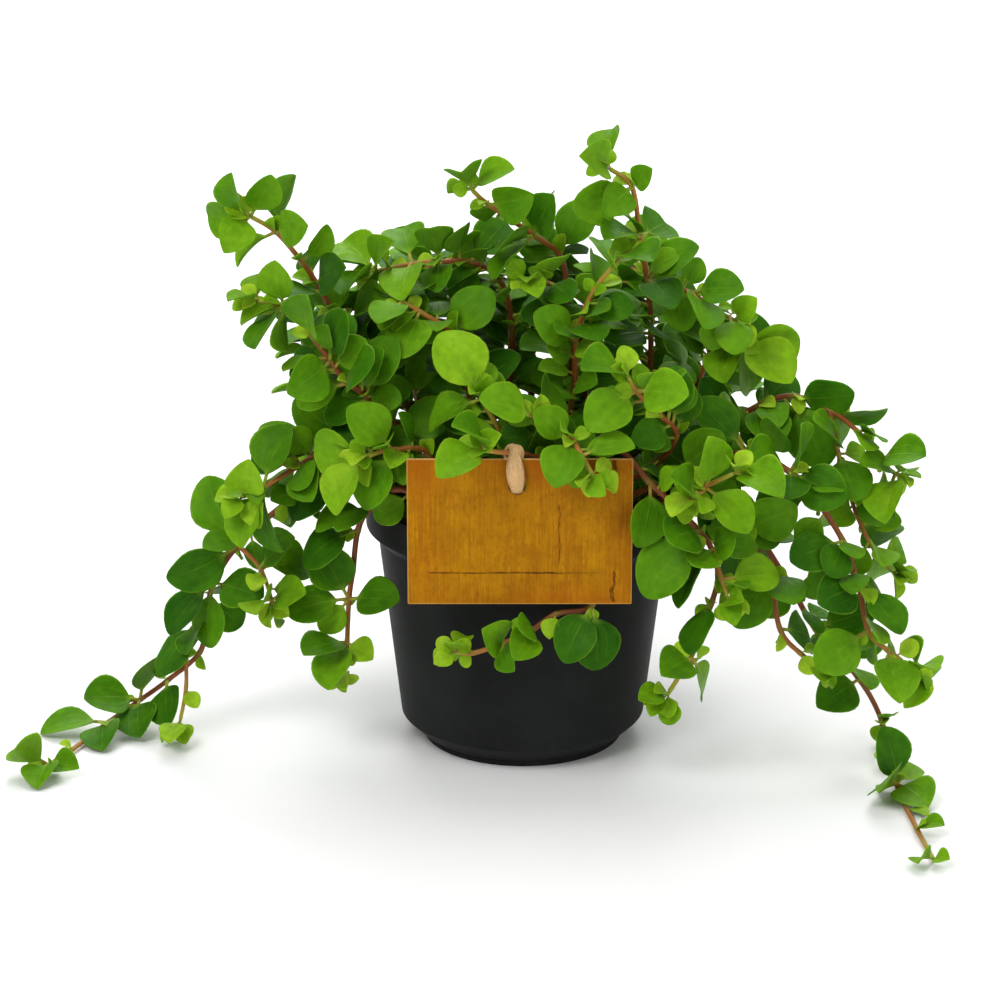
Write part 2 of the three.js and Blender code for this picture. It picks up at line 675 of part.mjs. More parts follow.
    leaves: [[1, 292, 520, 10], [2, 268, 476, 10], [3, 206, 476], [3, 167, 580, -80], [4, 262, 598],
      [4, 207, 648], [4, 168, 634], [5, 160, 678], [7, 170, 725], [8, 158, 655], [8, 84, 700, -40],
      [8, 138, 737], [9, 101, 747], [9, 40, 728, -30], [11, 12, 748, 60, 0.9], [11, 38, 784, 10, 0.8],
      [11, 69, 774, 20, 0.7]],
    plain: [5, 6, 8, 10, 11],
    shoots: [{
      from: 5,
      route: [seen(188, 648, -12), seen(186, 688, -14), seen(180, 722, -16)],
      leaves: [[2, 168, 740, 0, 0.6], [2, 186, 744, 20, 0.6]],
      plain: [0, 1, 2],
    }, {
      from: 3,
      route: [seen(260, 568, -20), seen(272, 600, -22)],
      leaves: [[0, 310, 560, 40], [0, 296, 538, 0, 0.9], [1, 306, 592, 0, 0.9], [1, 258, 612, 10, 0.9],
        [1, 285, 622, 30, 0.6]],
    }],
  },
  {
    name: 'stem_left_upper',
    at: [-40, 2],
    route: [seen(395, 440, -6), seen(345, 440, -12), seen(300, 465, -22), seen(264, 487, -30),
      seen(243, 497, -32)],
    leaves: [[3, 288, 424], [4, 250, 462, 70, 0.9], [3, 276, 554, 40], [1, 292, 402], [1, 306, 480, 30],
      [3, 240, 548, 10], [2, 262, 424, 30, 0.9]],
  },
  {
    name: 'stem_left_inner',
    at: [-26, -20],
    route: [seen(430, 455, -38), seen(392, 450, -46), seen(368, 456, -50)],
    leaves: [[0, 430, 395], [1, 350, 405], [1, 363, 508], [2, 312, 446, -40], [2, 330, 512, 10]],
  },
];

/** Stems made by rule, for the back and the middle of the plant: an arch in the plane of an azimuth. */
function arching(name, azimuth, start, reach, rise, fall) {
  const angle = THREE.MathUtils.degToRad(azimuth);
  const outward = new THREE.Vector3(Math.cos(angle), Math.sin(angle), 0);
  const route = [];
  const points = Math.max(3, Math.round((reach + rise + fall) / 30));
  for (let k = 1; k <= points; k += 1) {
    const t = k / points;
    const out = start + reach * t ** 1.15;
    const height = soil.top + rise * Math.sin(Math.PI * Math.min(1, t * 0.62) ** 0.8) - fall * t ** 2.4;
    route.push(outward.clone().multiplyScalar(out).setZ(height));
  }
  const at = outward.clone().multiplyScalar(start).toArray().slice(0, 2);
  return { name, at, route, leaves: [], whorl: 2 };
}

const backStems = [
  { azimuth: 28, start: 40, reach: 60, rise: 58, fall: 40 },
  { azimuth: 48, start: 30, reach: 56, rise: 90, fall: 20 },
  { azimuth: 66, start: 44, reach: 58, rise: 50, fall: 75 },
  { azimuth: 84, start: 28, reach: 60, rise: 94, fall: 20 },
  { azimuth: 104, start: 42, reach: 64, rise: 70, fall: 60 },
  { azimuth: 124, start: 28, reach: 60, rise: 88, fall: 16 },
  { azimuth: 146, start: 42, reach: 62, rise: 62, fall: 45 },
  { azimuth: 166, start: 34, reach: 50, rise: 80, fall: 10 },
];
backStems.forEach(({ azimuth, start, reach, rise, fall }, k) => {
  stems.push(arching(`stem_back_${k + 1}`, azimuth, start, reach, rise, fall));
});

// ---------- Growth ----------

/** An axis is a stem or a shoot: its curve, its thickness and the points where leaves can grow. */
function makeAxis(points, first, thick, thin, bare) {
  const curve = new THREE.CatmullRomCurve3(points, false, 'catmullrom', 0.5);
  const last = points.length - 1;
  const stations = [];
  for (let k = 0; k <= last; k += 1) {
    if (k > 0 && points[k].distanceTo(points[k - 1]) > stemForm.reach) {
      stations.push(k - 0.5);
    }
    stations.push(k);
  }
  const rings = stations.map((at) => ({
    index: at - first, point: curve.getPoint(at / last), direction: curve.getTangent(at / last),
  }));
  const nodes = rings.filter(({ index }) => index >= bare);
  return { curve, last, first, rings, nodes, thick, thin };
}

function lightAt({ x, y, z }) {
  if (z < light.low) {
    return up.clone();
  }
  const facing = THREE.MathUtils.clamp((y - light.divide) / light.depth, light.front, light.back);
  return new THREE.Vector3(x * light.sideways, facing, light.up).normalize();
}

/** The tip seen at (u, v), at the natural length from its foot, leaning to the viewer (-1) or away (1). */
function tipSeen(start, u, v, length, lean) {
  const direction = ray(u, v).normalize();
  const offset = eye.clone().sub(start);
  const b = offset.dot(direction);
  const c = offset.lengthSq() - length * length;
  const reach = -b + lean * Math.sqrt(Math.max(0, b * b - c));
  const tip = eye.clone().addScaledVector(direction, reach);
  return tip.z < 3 ? lying(u, v, 3) : tip;
}

// How a leaf that would cross something is bent: pitch, yaw, roll in degrees, and its size.
const bends = [
  [0, 0, 0, 1], [0, 0, 22, 1], [0, 0, -22, 1], [14, 0, 0, 1], [-14, 0, 0, 1],
  [0, 14, 18, 1], [0, -14, -18, 1], [22, 12, 0, 0.95], [-22, -12, 0, 0.95],
  [10, 24, 25, 0.9], [10, -24, -25, 0.9], [34, 0, 30, 0.85],
  [-30, 20, 40, 0.8], [40, 30, 0, 0.7], [40, -30, 0, 0.7], [55, 0, 0, 0.6],
];

function bentLeaf(leaf, [pitch, yaw, roll, size]) {
  const turn = (vector, axis, degrees) => vector.applyAxisAngle(axis, THREE.MathUtils.degToRad(degrees));
  const along = leaf.along.clone();
  const normal = leaf.normal.clone();
  turn(along, leaf.side, pitch);
  turn(normal, leaf.side, pitch);
  turn(along, leaf.normal, yaw);
  turn(normal, along, roll);
  return makeLeaf(leaf.start, along, normal, leaf.length * size, leaf.width * size);
}

/** The leaves that find room, each in the first of its places that has any, bent as little as it needs. */
function settled(choices, room, owner, own) {
  return choices.flatMap((places) => {
    for (const bend of bends) {
      for (const leaf of places) {
        const candidate = bentLeaf(leaf, bend);
        const points = leafPoints(candidate);
        if (!points.some(blocked) && room.free(points, owner, own)) {
          room.add(points, owner, false);
          return [candidate];
        }
      }
    }
    return [];
  });
}

function within([least, most], draw) {
  return least + (most - least) * draw;
}

/** A leaf between two points, or along a direction, turned about its midrib from facing the light. */
function facingLight(start, direction, length, breadth, turn) {
  const flat = makeLeaf(start, direction, lightAt(start), length, 1);
  const normal = flat.normal.applyAxisAngle(flat.along, turn);
  const width = breadth * (1 - leafForm.petiole) * leafForm.width;
  return makeLeaf(start, flat.along, normal, length, width);
}

function outlineLeaves(axis, listed, random) {
  return listed.map(([index, u, v, turn = 0, size = 1]) => {
    const start = axis.curve.getPoint((index + axis.first) / axis.last);
    const broad = within(habit.widths, random());
    return [-1, 1].map((lean) => {
      const span = tipSeen(start, u, v, leafForm.length * habit.leaning * size, lean).sub(start);
      const breadth = Math.min(span.length(), leafForm.length * habit.broadest) * broad;
      return facingLight(start, span, span.length(), breadth, THREE.MathUtils.degToRad(turn));
    });
  });
}

/** The leaves that fill up each node: pairs that turn from node to node, small at the axis's tip. */
function ruleLeaves(axis, listed, random, whorl = 1, plain = []) {
  const leaves = [];
  axis.nodes.forEach((node, k) => {
    const shown = listed.filter(([index]) => Math.abs(index - node.index) < 0.3).length;
    const across = new THREE.Vector3().crossVectors(up, node.direction).normalize();
    const over = new THREE.Vector3().crossVectors(node.direction, across);
    const growth = habit.young[axis.nodes.length - 1 - k] ?? 1;
    for (let n = 0; n < 2; n += 1) {
      const [swing, lean, size, roll] = [random(), random(), random(), random()];
      const hasDropped = n > 0 && roll < habit.dropped;
      if (n >= whorl - shown || hasDropped || plain.includes(node.index)) {
        continue;
      }
      const azimuth = habit.start + (k % 2) * habit.spiral + n * Math.PI + (swing - 0.5) * habit.scatter;
      const direction = across.clone().multiplyScalar(habit.outward * Math.cos(azimuth))
        .addScaledVector(over, habit.outward * Math.sin(azimuth))
        .addScaledVector(node.direction, within(habit.forward, lean))
        .addScaledVector(up, habit.lift);
      const length = leafForm.length * growth * within(habit.sizes, size);
      const breadth = length * within(habit.widths, roll);
      leaves.push([facingLight(node.point, direction, length, breadth, (roll - 0.5) * habit.roll)]);
    }
  });
  return leaves;
}

function axesOf(stem) {
  const [x, y] = stem.at;
  const bottom = soilHeight(x, y) - foot.depth + gap;
  const rooted = [new THREE.Vector3(x, y, bottom), new THREE.Vector3(x, y, soilHeight(x, y) + 2)];
  const main = makeAxis([...rooted, ...stem.route], 2, stemForm.thick, stemForm.thin, stem.bare ?? 0);
  const shoots = (stem.shoots ?? []).map((shoot) => {
    const start = main.curve.getPoint((shoot.from + main.first) / main.last);
    return makeAxis([start, ...shoot.route], 1, stemForm.shoot, stemForm.fine, 0);
  });
  return [main, ...shoots];
}

function axisPoints(axis) {
  const count = Math.round(axis.curve.getLength() / stemForm.sample);
  return Array.from({ length: count + 1 }, (unused, k) => axis.curve.getPoint(k / count));
}

function axisGeometry(axis) {
  const across = new THREE.Vector3(0.6, -0.8, 0);
  return skin(axis.rings.map(({ point, direction }, k) => {
    const radius = axis.thick + (axis.thin - axis.thick) * (k / (axis.rings.length - 1));
    across.addScaledVector(direction, -across.dot(direction)).normalize();
    const over = direction.clone().cross(across);
    return ringAround(point, across, over, radius, radius, stemForm.sides);
  }));
}

const room = new Room(clearance.others);
const grown = stems.map((stem) => ({ stem, axes: axesOf(stem), leaves: [] }));
grown.forEach(({ stem, axes }) => axes.forEach((axis) => room.add(axisPoints(axis), stem.name, true)));

/** The stem's own row of the table, or the row of its side shoot. */
function rowOf(stem, index) {
  return index === 0 ? stem : stem.shoots[index - 1];
}

// Leaves of the outline come first, on every stem, and then the rest.
grown.forEach((plant, k) => {
  const random = draws(101 + k);
  plant.axes.forEach((axis, index) => {
    const leaves = outlineLeaves(axis, rowOf(plant.stem, index).leaves, random);
    plant.leaves.push(...settled(leaves, room, plant.stem.name, clearance.tuft));
  });
});
grown.forEach((plant, k) => {
  const random = draws(501 + k);
  plant.axes.forEach((axis, index) => {
    const { leaves: listed, plain } = rowOf(plant.stem, index);
    const leaves = ruleLeaves(axis, listed, random, plant.stem.whorl, plain);
    plant.leaves.push(...settled(leaves, room, plant.stem.name, clearance.own));
  });
});

// ---------- Assembly ----------

const plant = new THREE.Group();
plant.add(makePot());
plant.add(makeSoil(stems.map((stem) => stem.at)));
plant.add(makeTag());

const carrierAxis = grown.find(({ stem }) => stem.name === 'stem_tag_left').axes[0];
const carrierAt = (2 + carrierAxis.first) / carrierAxis.last;
plant.add(makeTie({
  point: carrierAxis.curve.getPoint(carrierAt),
  direction: carrierAxis.curve.getTangent(carrierAt),
  radius: stemForm.thick,
}));

for (const { stem, axes, leaves } of grown) {
  const pieces = [...axes.map(axisGeometry), ...leaves.map(leafGeometry)].map(solidOf);
  const whole = pieces.reduce((joined, piece) => joined.add(piece));
  plant.add(meshOf(stem.name, whole, materials.leaf));
}

export default plant;
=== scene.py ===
"""Looks of a potted peperomia: leafy stems, black nursery pot, soil, printed tag and raffia tie.

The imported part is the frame. Each leafy stem is grown again by the rule and from the table that laid out
the solids, with rounded stems and leaves in their places, and small growth is added between them.
Lengths are millimetres until a mesh is made, and the front is -Y.
"""

import math
from types import SimpleNamespace as Sizes

import bpy
import numpy as np
from mathutils import Matrix, Vector, noise


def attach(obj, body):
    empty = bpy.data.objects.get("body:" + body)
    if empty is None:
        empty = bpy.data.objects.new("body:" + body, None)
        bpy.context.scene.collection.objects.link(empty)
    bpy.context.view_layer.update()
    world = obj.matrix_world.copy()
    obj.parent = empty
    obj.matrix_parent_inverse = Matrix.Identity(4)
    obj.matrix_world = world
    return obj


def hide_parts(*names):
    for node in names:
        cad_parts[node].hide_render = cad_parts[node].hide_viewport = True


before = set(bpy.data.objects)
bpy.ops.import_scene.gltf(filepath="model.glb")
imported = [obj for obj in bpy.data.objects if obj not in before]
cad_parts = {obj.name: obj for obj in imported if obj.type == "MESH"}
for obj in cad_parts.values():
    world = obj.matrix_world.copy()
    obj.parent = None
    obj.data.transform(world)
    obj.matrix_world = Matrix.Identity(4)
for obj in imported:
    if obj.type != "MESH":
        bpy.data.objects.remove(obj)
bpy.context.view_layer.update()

MM = 0.001

# ---------- Sizes that the solids were made from ----------

POT = Sizes(
    height=98, rim=60, band_foot=86, shoulder=55.4, shoulder_height=81.6, heel=47, heel_height=9.8,
    foot=38.4, chamfer_top=7.8, chamfer_foot=3.6, wall=1.6, floor=4.4, recess=2.5, pad=12,
    drains=6, drain_radius=3.5, drain_circle=22,
)
SOIL = Sizes(top=89.5, crown=1.2, lump=0.8)
FOOT = Sizes(depth=9, gap=0.3, radius=1.5)
TAG = Sizes(
    left=-42.6, right=39.4, low=74.7, high=130.5, back=-61.6, thickness=0.9,
    hole_x=-2.6, hole_drop=10.6, hole=3,
)
TIE = Sizes(thickness=1.8, reach=3.1, under_hole=1.9)
LEAF = Sizes(length=26, petiole=0.19, width=0.92, arch=0.07, cup=0.06)
STEM = Sizes(thick=1.5, thin=0.95, shoot=1.05, fine=0.8, reach=32, sample=2.5, young=3.2, above=2)
HABIT = Sizes(
    spiral=1.25, scatter=0.9, roll=0.9, start=0.35, outward=0.92, forward=(0.25, 0.65), lift=0.12,
    sizes=(0.86, 1.06), widths=(0.92, 1.04), young=(0.66, 0.84, 0.94), dropped=0.45, leaning=0.92,
    broadest=1.06, listed_near=0.3, lowest_tip=3,
)
LIGHT = Sizes(sideways=0.004, divide=22, depth=70, front=-0.62, back=0.5, up=0.7, low=16)
CLEAR = Sizes(others=3.1, own=2.2, tuft=1.2, wall=1.4, floor=0.8)
# Pitch, yaw and roll in degrees, and size: what is tried in turn for a leaf that finds no room.
BENDS = (
    (0, 0, 0, 1), (0, 0, 22, 1), (0, 0, -22, 1), (14, 0, 0, 1), (-14, 0, 0, 1),
    (0, 14, 18, 1), (0, -14, -18, 1), (22, 12, 0, 0.95), (-22, -12, 0, 0.95),
    (10, 24, 25, 0.9), (10, -24, -25, 0.9), (34, 0, 30, 0.85),
    (-30, 20, 40, 0.8), (40, 30, 0, 0.7), (40, -30, 0, 0.7), (55, 0, 0, 0.6),
)

# ---------- Points of the view that the stems were laid out in ----------

VIEW = Sizes(elevation=math.radians(18.5), distance=1300, focal=3403, middle=500)
AIM = np.array([-8.8, 0, 94])
SIGHT = np.array([0, math.cos(VIEW.elevation), -math.sin(VIEW.elevation)])
OVERHEAD = np.array([0, math.sin(VIEW.elevation), math.cos(VIEW.elevation)])
EYE = AIM - SIGHT * VIEW.distance
UP = np.array([0.0, 0, 1])


def ray(u, v):
    direction = SIGHT + OVERHEAD * ((VIEW.middle - v) / VIEW.focal)
    direction[0] += (u - VIEW.middle) / VIEW.focal
    return direction


def seen(u, v, y):
    """The point seen at (u, v) that lies at the depth y."""
    direction = ray(u, v)
    return EYE + direction * ((y - EYE[1]) / direction[1])


def lying(u, v, z):
    """The point seen at (u, v) that lies at the height z."""
    direction = ray(u, v)
    return EYE + direction * ((z - EYE[2]) / direction[2])


# ---------- The stems: routes, side shoots and the leaves that give the outline ----------


class Growth:
    """A row of the table: a shoot that leaves its stem at a route point, or the stem itself.

    A route point is (u, v, depth) or a place. A listed leaf is (route point that it grows from, u and v of
    its tip, turn about its midrib, size), and its turn and size may be left out. Nodes in plain get no
    leaves by rule, and nodes below bare get neither these nor buds. Beyond the route point opens, nothing
    fills up the stretches between the nodes.
    """

    def __init__(self, start, route, leaves=(), plain=(), bare=0, opens=math.inf):
        self.start = start
        self.route = [seen(*point) if isinstance(point, tuple) else point for point in route]
        self.leaves = leaves
        self.plain = plain
        self.bare = bare
        self.opens = opens


class Stem(Growth):
    """A named stem, rooted at (x, y), with its shoots and how many leaves a node has by rule."""

    def __init__(self, name, start, route, leaves=(), shoots=(), whorl=1, **habit):
        super().__init__(start, route, leaves, **habit)
        self.name = name
        self.shoots = shoots
        self.whorl = whorl
        self.axes = []
        self.blades = []


STEMS = [
    Stem("stem_top_left", (-26, 6), [(425, 440, 2), (380, 362, -6), (336, 314, -10), (317, 284, -12),
        (302, 262, -14), (276, 232, -16), (250, 216, -18)],
        [(6, 228, 178, 10, 0.9), (6, 208, 216, -50, 0.8), (6, 225, 249, -40, 0.8), (6, 271, 175, 80, 0.8),
        (5, 294, 174, -88, 0.9), (5, 234, 263, 30, 0.8), (5, 306, 224, 40, 0.8), (4, 329, 226, 95, 0.7),
        (3, 344, 268, 30)], plain=(4, 5, 6), opens=3.5),
    Stem("stem_left_shoulder", (-34, -8), [(408, 440, -20), (366, 396, -34), (348, 383, -37),
        (330, 361, -38), (312, 336, -38), (285, 307, -36), (258, 301, -34)],
        [(3, 291, 392, -60), (3, 345, 312), (5, 257, 350, 30), (5, 284, 348, 60, 0.8),
        (5, 274, 260, 0, 0.8), (5, 239, 320, 0, 0.7), (6, 229, 298, 20, 0.6), (6, 255, 276, 10, 0.6)],
        opens=3),
    Stem("stem_top_shelf", (-10, 16), [(508, 400, 16), (512, 330, 14), (500, 280, 10), (470, 262, 6),
        (440, 262, 2), (412, 264, 0), (376, 271, -2)],
        [(6, 344, 243), (6, 388, 240, 30, 0.8), (6, 332, 258, 50, 0.5), (6, 340, 292, 20), (5, 402, 224),
        (4, 430, 230, 0, 0.9), (4, 484, 243, 80), (3, 508, 224, 30), (5, 400, 296, 10), (2, 452, 300, 20)],
        plain=(5, 6)),
    Stem("stem_inner_left", (-16, -4), [(470, 400, -8), (452, 337, -14), (420, 312, -18), (401, 301, -20)],
        [(3, 346, 308, 10), (3, 425, 285, 20, 0.8), (2, 403, 358)]),
    Stem("stem_top_centre", (2, 8), [(562, 420, 10), (572, 350, 6), (567, 290, 2), (560, 256, 0),
        (535, 236, -2), (488, 204, -5), (472, 190, -6)],
        [(6, 462, 168, 20, 0.9), (6, 449, 188, 60, 0.6), (6, 512, 166, 0, 0.8), (5, 532, 196, 80, 0.9),
        (5, 487, 222, 0, 0.7), (4, 554, 197, 80), (4, 494, 252, 55), (4, 497, 280, 20), (2, 548, 306, 10),
        (1, 521, 346)], plain=(5, 6), opens=4.5, shoots=[
            Growth(2, [(545, 282, -8), (526, 280, -12)], [(1, 505, 273, 0, 0.6), (1, 540, 294, 0, 0.6),
                (1, 502, 300, 20, 0.7)])]),
    Stem("stem_top_right", (16, 4), [(610, 440, 2), (645, 390, 0), (651, 334, -4), (647, 280, -8),
        (640, 238, -10), (632, 187, -12), (609, 168, -12)],
        [(6, 580, 156, -40, 0.9), (6, 612, 127, -40, 0.8), (5, 650, 170, 75, 0.6), (5, 572, 208, -60),
        (5, 605, 212, -20, 0.8), (4, 606, 232, 20), (4, 666, 226, 10), (4, 626, 214, 30, 0.6),
        (3, 698, 246), (3, 672, 306, 10), (2, 604, 340), (2, 690, 352, 20)],
        plain=(5, 6), opens=3.5, shoots=[
            Growth(3, [(672, 287, -12), (692, 293, -14), (714, 309, -16), (735, 320, -18)],
                [(1, 744, 288, 20, 0.9), (3, 754, 299, 30, 0.6), (3, 744, 322, 20, 0.5),
                (1, 702, 328, -20)], plain=(0, 2, 3))]),
    Stem("stem_top_inner", (8, -8), [(572, 400, -14), (576, 340, -18), (592, 294, -20), (622, 256, -22)],
        [(3, 655, 262)]),
    Stem("stem_right_upper", (26, 12), [(650, 440, 8), (690, 400, 2), (712, 350, -4), (735, 342, -8)],
        [(2, 672, 325), (3, 724, 380, 50), (3, 786, 392, 20), (3, 803, 348, 60), (3, 748, 392, 20)]),
    Stem("stem_right_shelf", (34, 4), [(672, 458, -2), (725, 425, -8), (760, 405, -14), (793, 396, -18),
        (830, 410, -24), (859, 433, -28), (878, 460, -32), (896, 474, -34)],
        [(3, 853, 396, 80), (3, 828, 466, 30), (2, 772, 448, 20), (4, 888, 412, 80, 0.8), (6, 926, 456, 30),
        (7, 884, 523, 60), (7, 911, 468, 30, 0.6), (7, 862, 462, 20, 0.8)], plain=(5, 6, 7), shoots=[
            Growth(4, [(838, 452, -28), (848, 488, -32), (858, 518, -34), (872, 546, -36), (893, 573, -38)],
                [(0, 816, 420, 20), (0, 855, 503, 30), (2, 893, 535, 80), (2, 827, 514, -70),
                (3, 880, 582, 50), (3, 886, 563, 0, 0.8), (4, 912, 570, 10, 0.6), (4, 899, 586, 10, 0.5)],
                plain=(3, 4))]),
    Stem("stem_right_middle", (38, -12), [(684, 478, -24), (745, 452, -38), (790, 472, -44),
        (813, 496, -47), (843, 541, -50), (859, 587, -54), (868, 630, -58), (887, 650, -60),
        (915, 672, -62)],
        [(1, 692, 402), (2, 845, 499, 45), (3, 775, 510, -40), (2, 800, 424, 20), (4, 792, 560),
        (4, 857, 558, 10, 0.6), (5, 820, 600), (5, 900, 636), (6, 816, 668), (7, 897, 703, 20),
        (8, 938, 666, 50, 0.8), (8, 930, 682, 40, 0.7), (8, 915, 700, 0, 0.7), (8, 906, 642, 50, 0.8)],
        plain=(7, 8)),
    Stem("stem_right_low", (30, -26), [(690, 496, -32), (740, 530, -44), (768, 572, -48), (780, 629, -50),
        (800, 653, -50), (820, 666, -50)],
        [(1, 732, 586), (1, 800, 522, 40), (2, 738, 628), (2, 792, 606, 10), (3, 810, 640),
        (5, 834, 655, 30, 0.6), (5, 826, 682, 30, 0.6)], plain=(3, 4), opens=1.2),
    Stem("stem_right_trail", (46, 4), [(685, 474, 0), (745, 520, -6), (788, 582, -10), (816, 630, -12),
        (859, 679, -12), (882, 722, -14), lying(897, 785, 1.7), lying(917, 829, 1.5), lying(933, 859, 1.5)],
        [(2, 802, 600, 60, 0.5), (4, 820, 706), (5, 893, 716, 0, 0.5), (6, 884, 730, -75),
        (6, 897, 816, 50, 0.7), (6, 916, 762, 40, 0.7), (6, 930, 806, 40, 0.6), (7, 944, 824, 20, 0.5),
        (8, 950, 859, 60, 0.4), (8, 920, 868, 40, 0.4)], plain=(5.5, 6, 6.5, 7, 7.5, 8), opens=4),
    Stem("stem_right_face", (14, -18), [(650, 468, -36), (676, 436, -47), (660, 415, -52), (636, 391, -55),
        (628, 377, -56)],
        [(3, 589, 430), (4, 580, 368, 20), (3, 688, 397, 30)]),
    Stem("stem_right_whorl", (24, -20), [(680, 475, -46), (704, 487, -64), (692, 498, -70)],
        [(1, 716, 440, 10), (1, 752, 530), (2, 672, 478, 0, 0.8), (2, 670, 517, 30, 0.6),
        (2, 700, 518, 0, 0.7)], shoots=[
            Growth(1, [(735, 473, -68)], [(0, 782, 492, 10), (0, 780, 450, 20)])]),
    Stem("stem_right_hook", (20, -32), [(608, 447, -50), (650, 483, -58), (671, 502, -60), (699, 531, -62),
        (712, 550, -62), (718, 575, -62), (712, 602, -62), (697, 642, -60), (691, 657, -58),
        (668, 694, -56)],
        [(1, 642, 548), (3, 668, 540), (3, 641, 594, 10), (4, 674, 606, 60, 0.8), (4, 736, 538, 60, 0.7),
        (4, 690, 566, 10, 0.8), (6, 690, 650, 60), (8, 661, 676, 0, 0.9), (8, 704, 697, -20, 0.9),
        (9, 638, 699, 10, 0.6), (9, 668, 713, 10, 0.4), (9, 656, 690, 20, 0.4)], plain=(5, 6, 7, 8),
        opens=4.5, shoots=[
            Growth(4, [(722, 580, -67), (728, 598, -69)], [(1, 742, 600, 60, 0.5),
                (1, 722, 604, 20, 0.4)])]),
    Stem("stem_tag_right", (12, -36), [(566, 462, -50), (570, 438, -60), (582, 456, -68), (592, 474, -70)],
        [(1, 561, 430, 0, 0.5), (1, 556, 486, 0, 0.9), (0, 598, 440), (3, 575, 470, 20, 0.5),
        (3, 598, 487, 60, 0.5), (3, 607, 468, 20, 0.4)]),
    Stem("stem_tag_centre", (4, -22), [(545, 455, -40), (536, 419, -52)],
        [(1, 479, 400), (1, 555, 381, 50), (1, 540, 457, 0, 0.9)]),
    Stem("stem_tag_left", (-4, -36), [(546, 468, -48), (530, 456, -57), (514, 453, -62), (498, 452, -65),
        (484, 450, -67)],
        [(4, 437, 474), (4, 457, 424, 20, 0.9), (4, 470, 416, 50, 0.8), (4, 498, 433, 10, 0.5)], bare=4),
    Stem("stem_crown_front", (-10, -20), [(505, 450, -38), (482, 399, -46)],
        [(1, 443, 331), (1, 431, 430)]),
    Stem("stem_front_small", (16, -40), [(600, 505, -56), (601, 560, -59.2), (592, 605, -58),
        (556, 614, -59), (532, 630, -60), (504, 643, -61), (473, 653, -62), (455, 652, -63)],
        [(2, 600, 670), (2, 562, 660), (4, 514, 606, 0, 0.8), (4, 516, 657, 0, 0.8),
        (5, 485, 630, -60, 0.8), (5, 494, 656, 20, 0.8), (7, 451, 641, 0, 0.5), (7, 466, 635, 0, 0.5),
        (7, 454, 659, 20, 0.5)], plain=(3, 4, 5, 6, 7), bare=2, opens=1),
    Stem("stem_left_hanging", (-28, -34), [(405, 490, -36), (371, 508, -27), (358, 530, -23),
        (353, 570, -22), (349, 599, -21), (347, 643, -20), (345, 672, -19)],
        [(1, 314, 526, 20, 0.9), (2, 300, 560, 10), (4, 320, 545), (4, 287, 612), (4, 400, 603),
        (4, 320, 632, -40, 0.7), (5, 307, 652), (5, 325, 684, 10), (5, 373, 658, 0, 0.7),
        (6, 345, 689, 20, 0.5)], plain=(3, 4, 5, 6), bare=2, opens=2.5),
    Stem("stem_left_trail", (-42, -14), [(385, 446, -18), (339, 469, -20), (290, 500, -18), (238, 545, -12),
        (214, 583, -8), (205, 620, -4), (200, 652, 0), (168, 680, 6), (140, 700, 7), lying(107, 723, 3),
        lying(73, 749, 2), lying(48, 765, 2)],
        [(1, 292, 520, 10), (2, 268, 476, 10), (3, 206, 476), (3, 167, 580, -80), (4, 262, 598),
        (4, 207, 648), (4, 168, 634), (5, 160, 678), (7, 170, 725), (8, 158, 655), (8, 84, 700, -40),
        (8, 138, 737), (9, 101, 747), (9, 40, 728, -30), (11, 12, 748, 60, 0.9), (11, 38, 784, 10, 0.8),
        (11, 69, 774, 20, 0.7)], plain=(5, 6, 8, 10, 11), opens=5.5, shoots=[
            Growth(5, [(188, 648, -12), (186, 688, -14), (180, 722, -16)], [(2, 168, 740, 0, 0.6),
                (2, 186, 744, 20, 0.6)], plain=(0, 1, 2), opens=0),
            Growth(3, [(260, 568, -20), (272, 600, -22)], [(0, 310, 560, 40), (0, 296, 538, 0, 0.9),
                (1, 306, 592, 0, 0.9), (1, 258, 612, 10, 0.9), (1, 285, 622, 30, 0.6)])]),
    Stem("stem_left_upper", (-40, 2), [(395, 440, -6), (345, 440, -12), (300, 465, -22), (264, 487, -30),
        (243, 497, -32)],
        [(3, 288, 424), (4, 250, 462, 70, 0.9), (3, 276, 554, 40), (1, 292, 402), (1, 306, 480, 30),
        (3, 240, 548, 10), (2, 262, 424, 30, 0.9)]),
    Stem("stem_left_inner", (-26, -20), [(430, 455, -38), (392, 450, -46), (368, 456, -50)],
        [(0, 430, 395), (1, 350, 405), (1, 363, 508), (2, 312, 446, -40), (2, 330, 512, 10)]),
]


def rounded(value):
    return math.floor(value + 0.5)


# How far apart the route points lie, and the powers and shares that give the arch its shape.
ARCH = Sizes(spacing=30, peak=0.62, steep=0.8, droop=2.4, spread=1.15)


def arching(name, azimuth, start, reach, rise, fall):
    """A stem made by rule: an arch in the plane of an azimuth."""
    angle = math.radians(azimuth)
    outward = np.array([math.cos(angle), math.sin(angle), 0])
    count = max(3, rounded((reach + rise + fall) / ARCH.spacing))
    route = []
    for k in range(1, count + 1):
        t = k / count
        lift = rise * math.sin(math.pi * (t * ARCH.peak) ** ARCH.steep)
        route.append(outward * (start + reach * t ** ARCH.spread)
                     + UP * (SOIL.top + lift - fall * t ** ARCH.droop))
    return Stem(name, list(outward[:2] * start), route, whorl=2)


# Azimuth, start, reach, rise and fall of each stem at the back.
BACK = (
    (28, 40, 60, 58, 40), (48, 30, 56, 90, 20), (66, 44, 58, 50, 75), (84, 28, 60, 94, 20),
    (104, 42, 64, 70, 60), (124, 28, 60, 88, 16), (146, 42, 62, 62, 45), (166, 34, 50, 80, 10),
)
STEMS += [arching(f"stem_back_{k + 1}", *row) for k, row in enumerate(BACK)]

# ---------- Curves, draws and the soil ----------


def unit(vector):
    return vector / np.linalg.norm(vector)


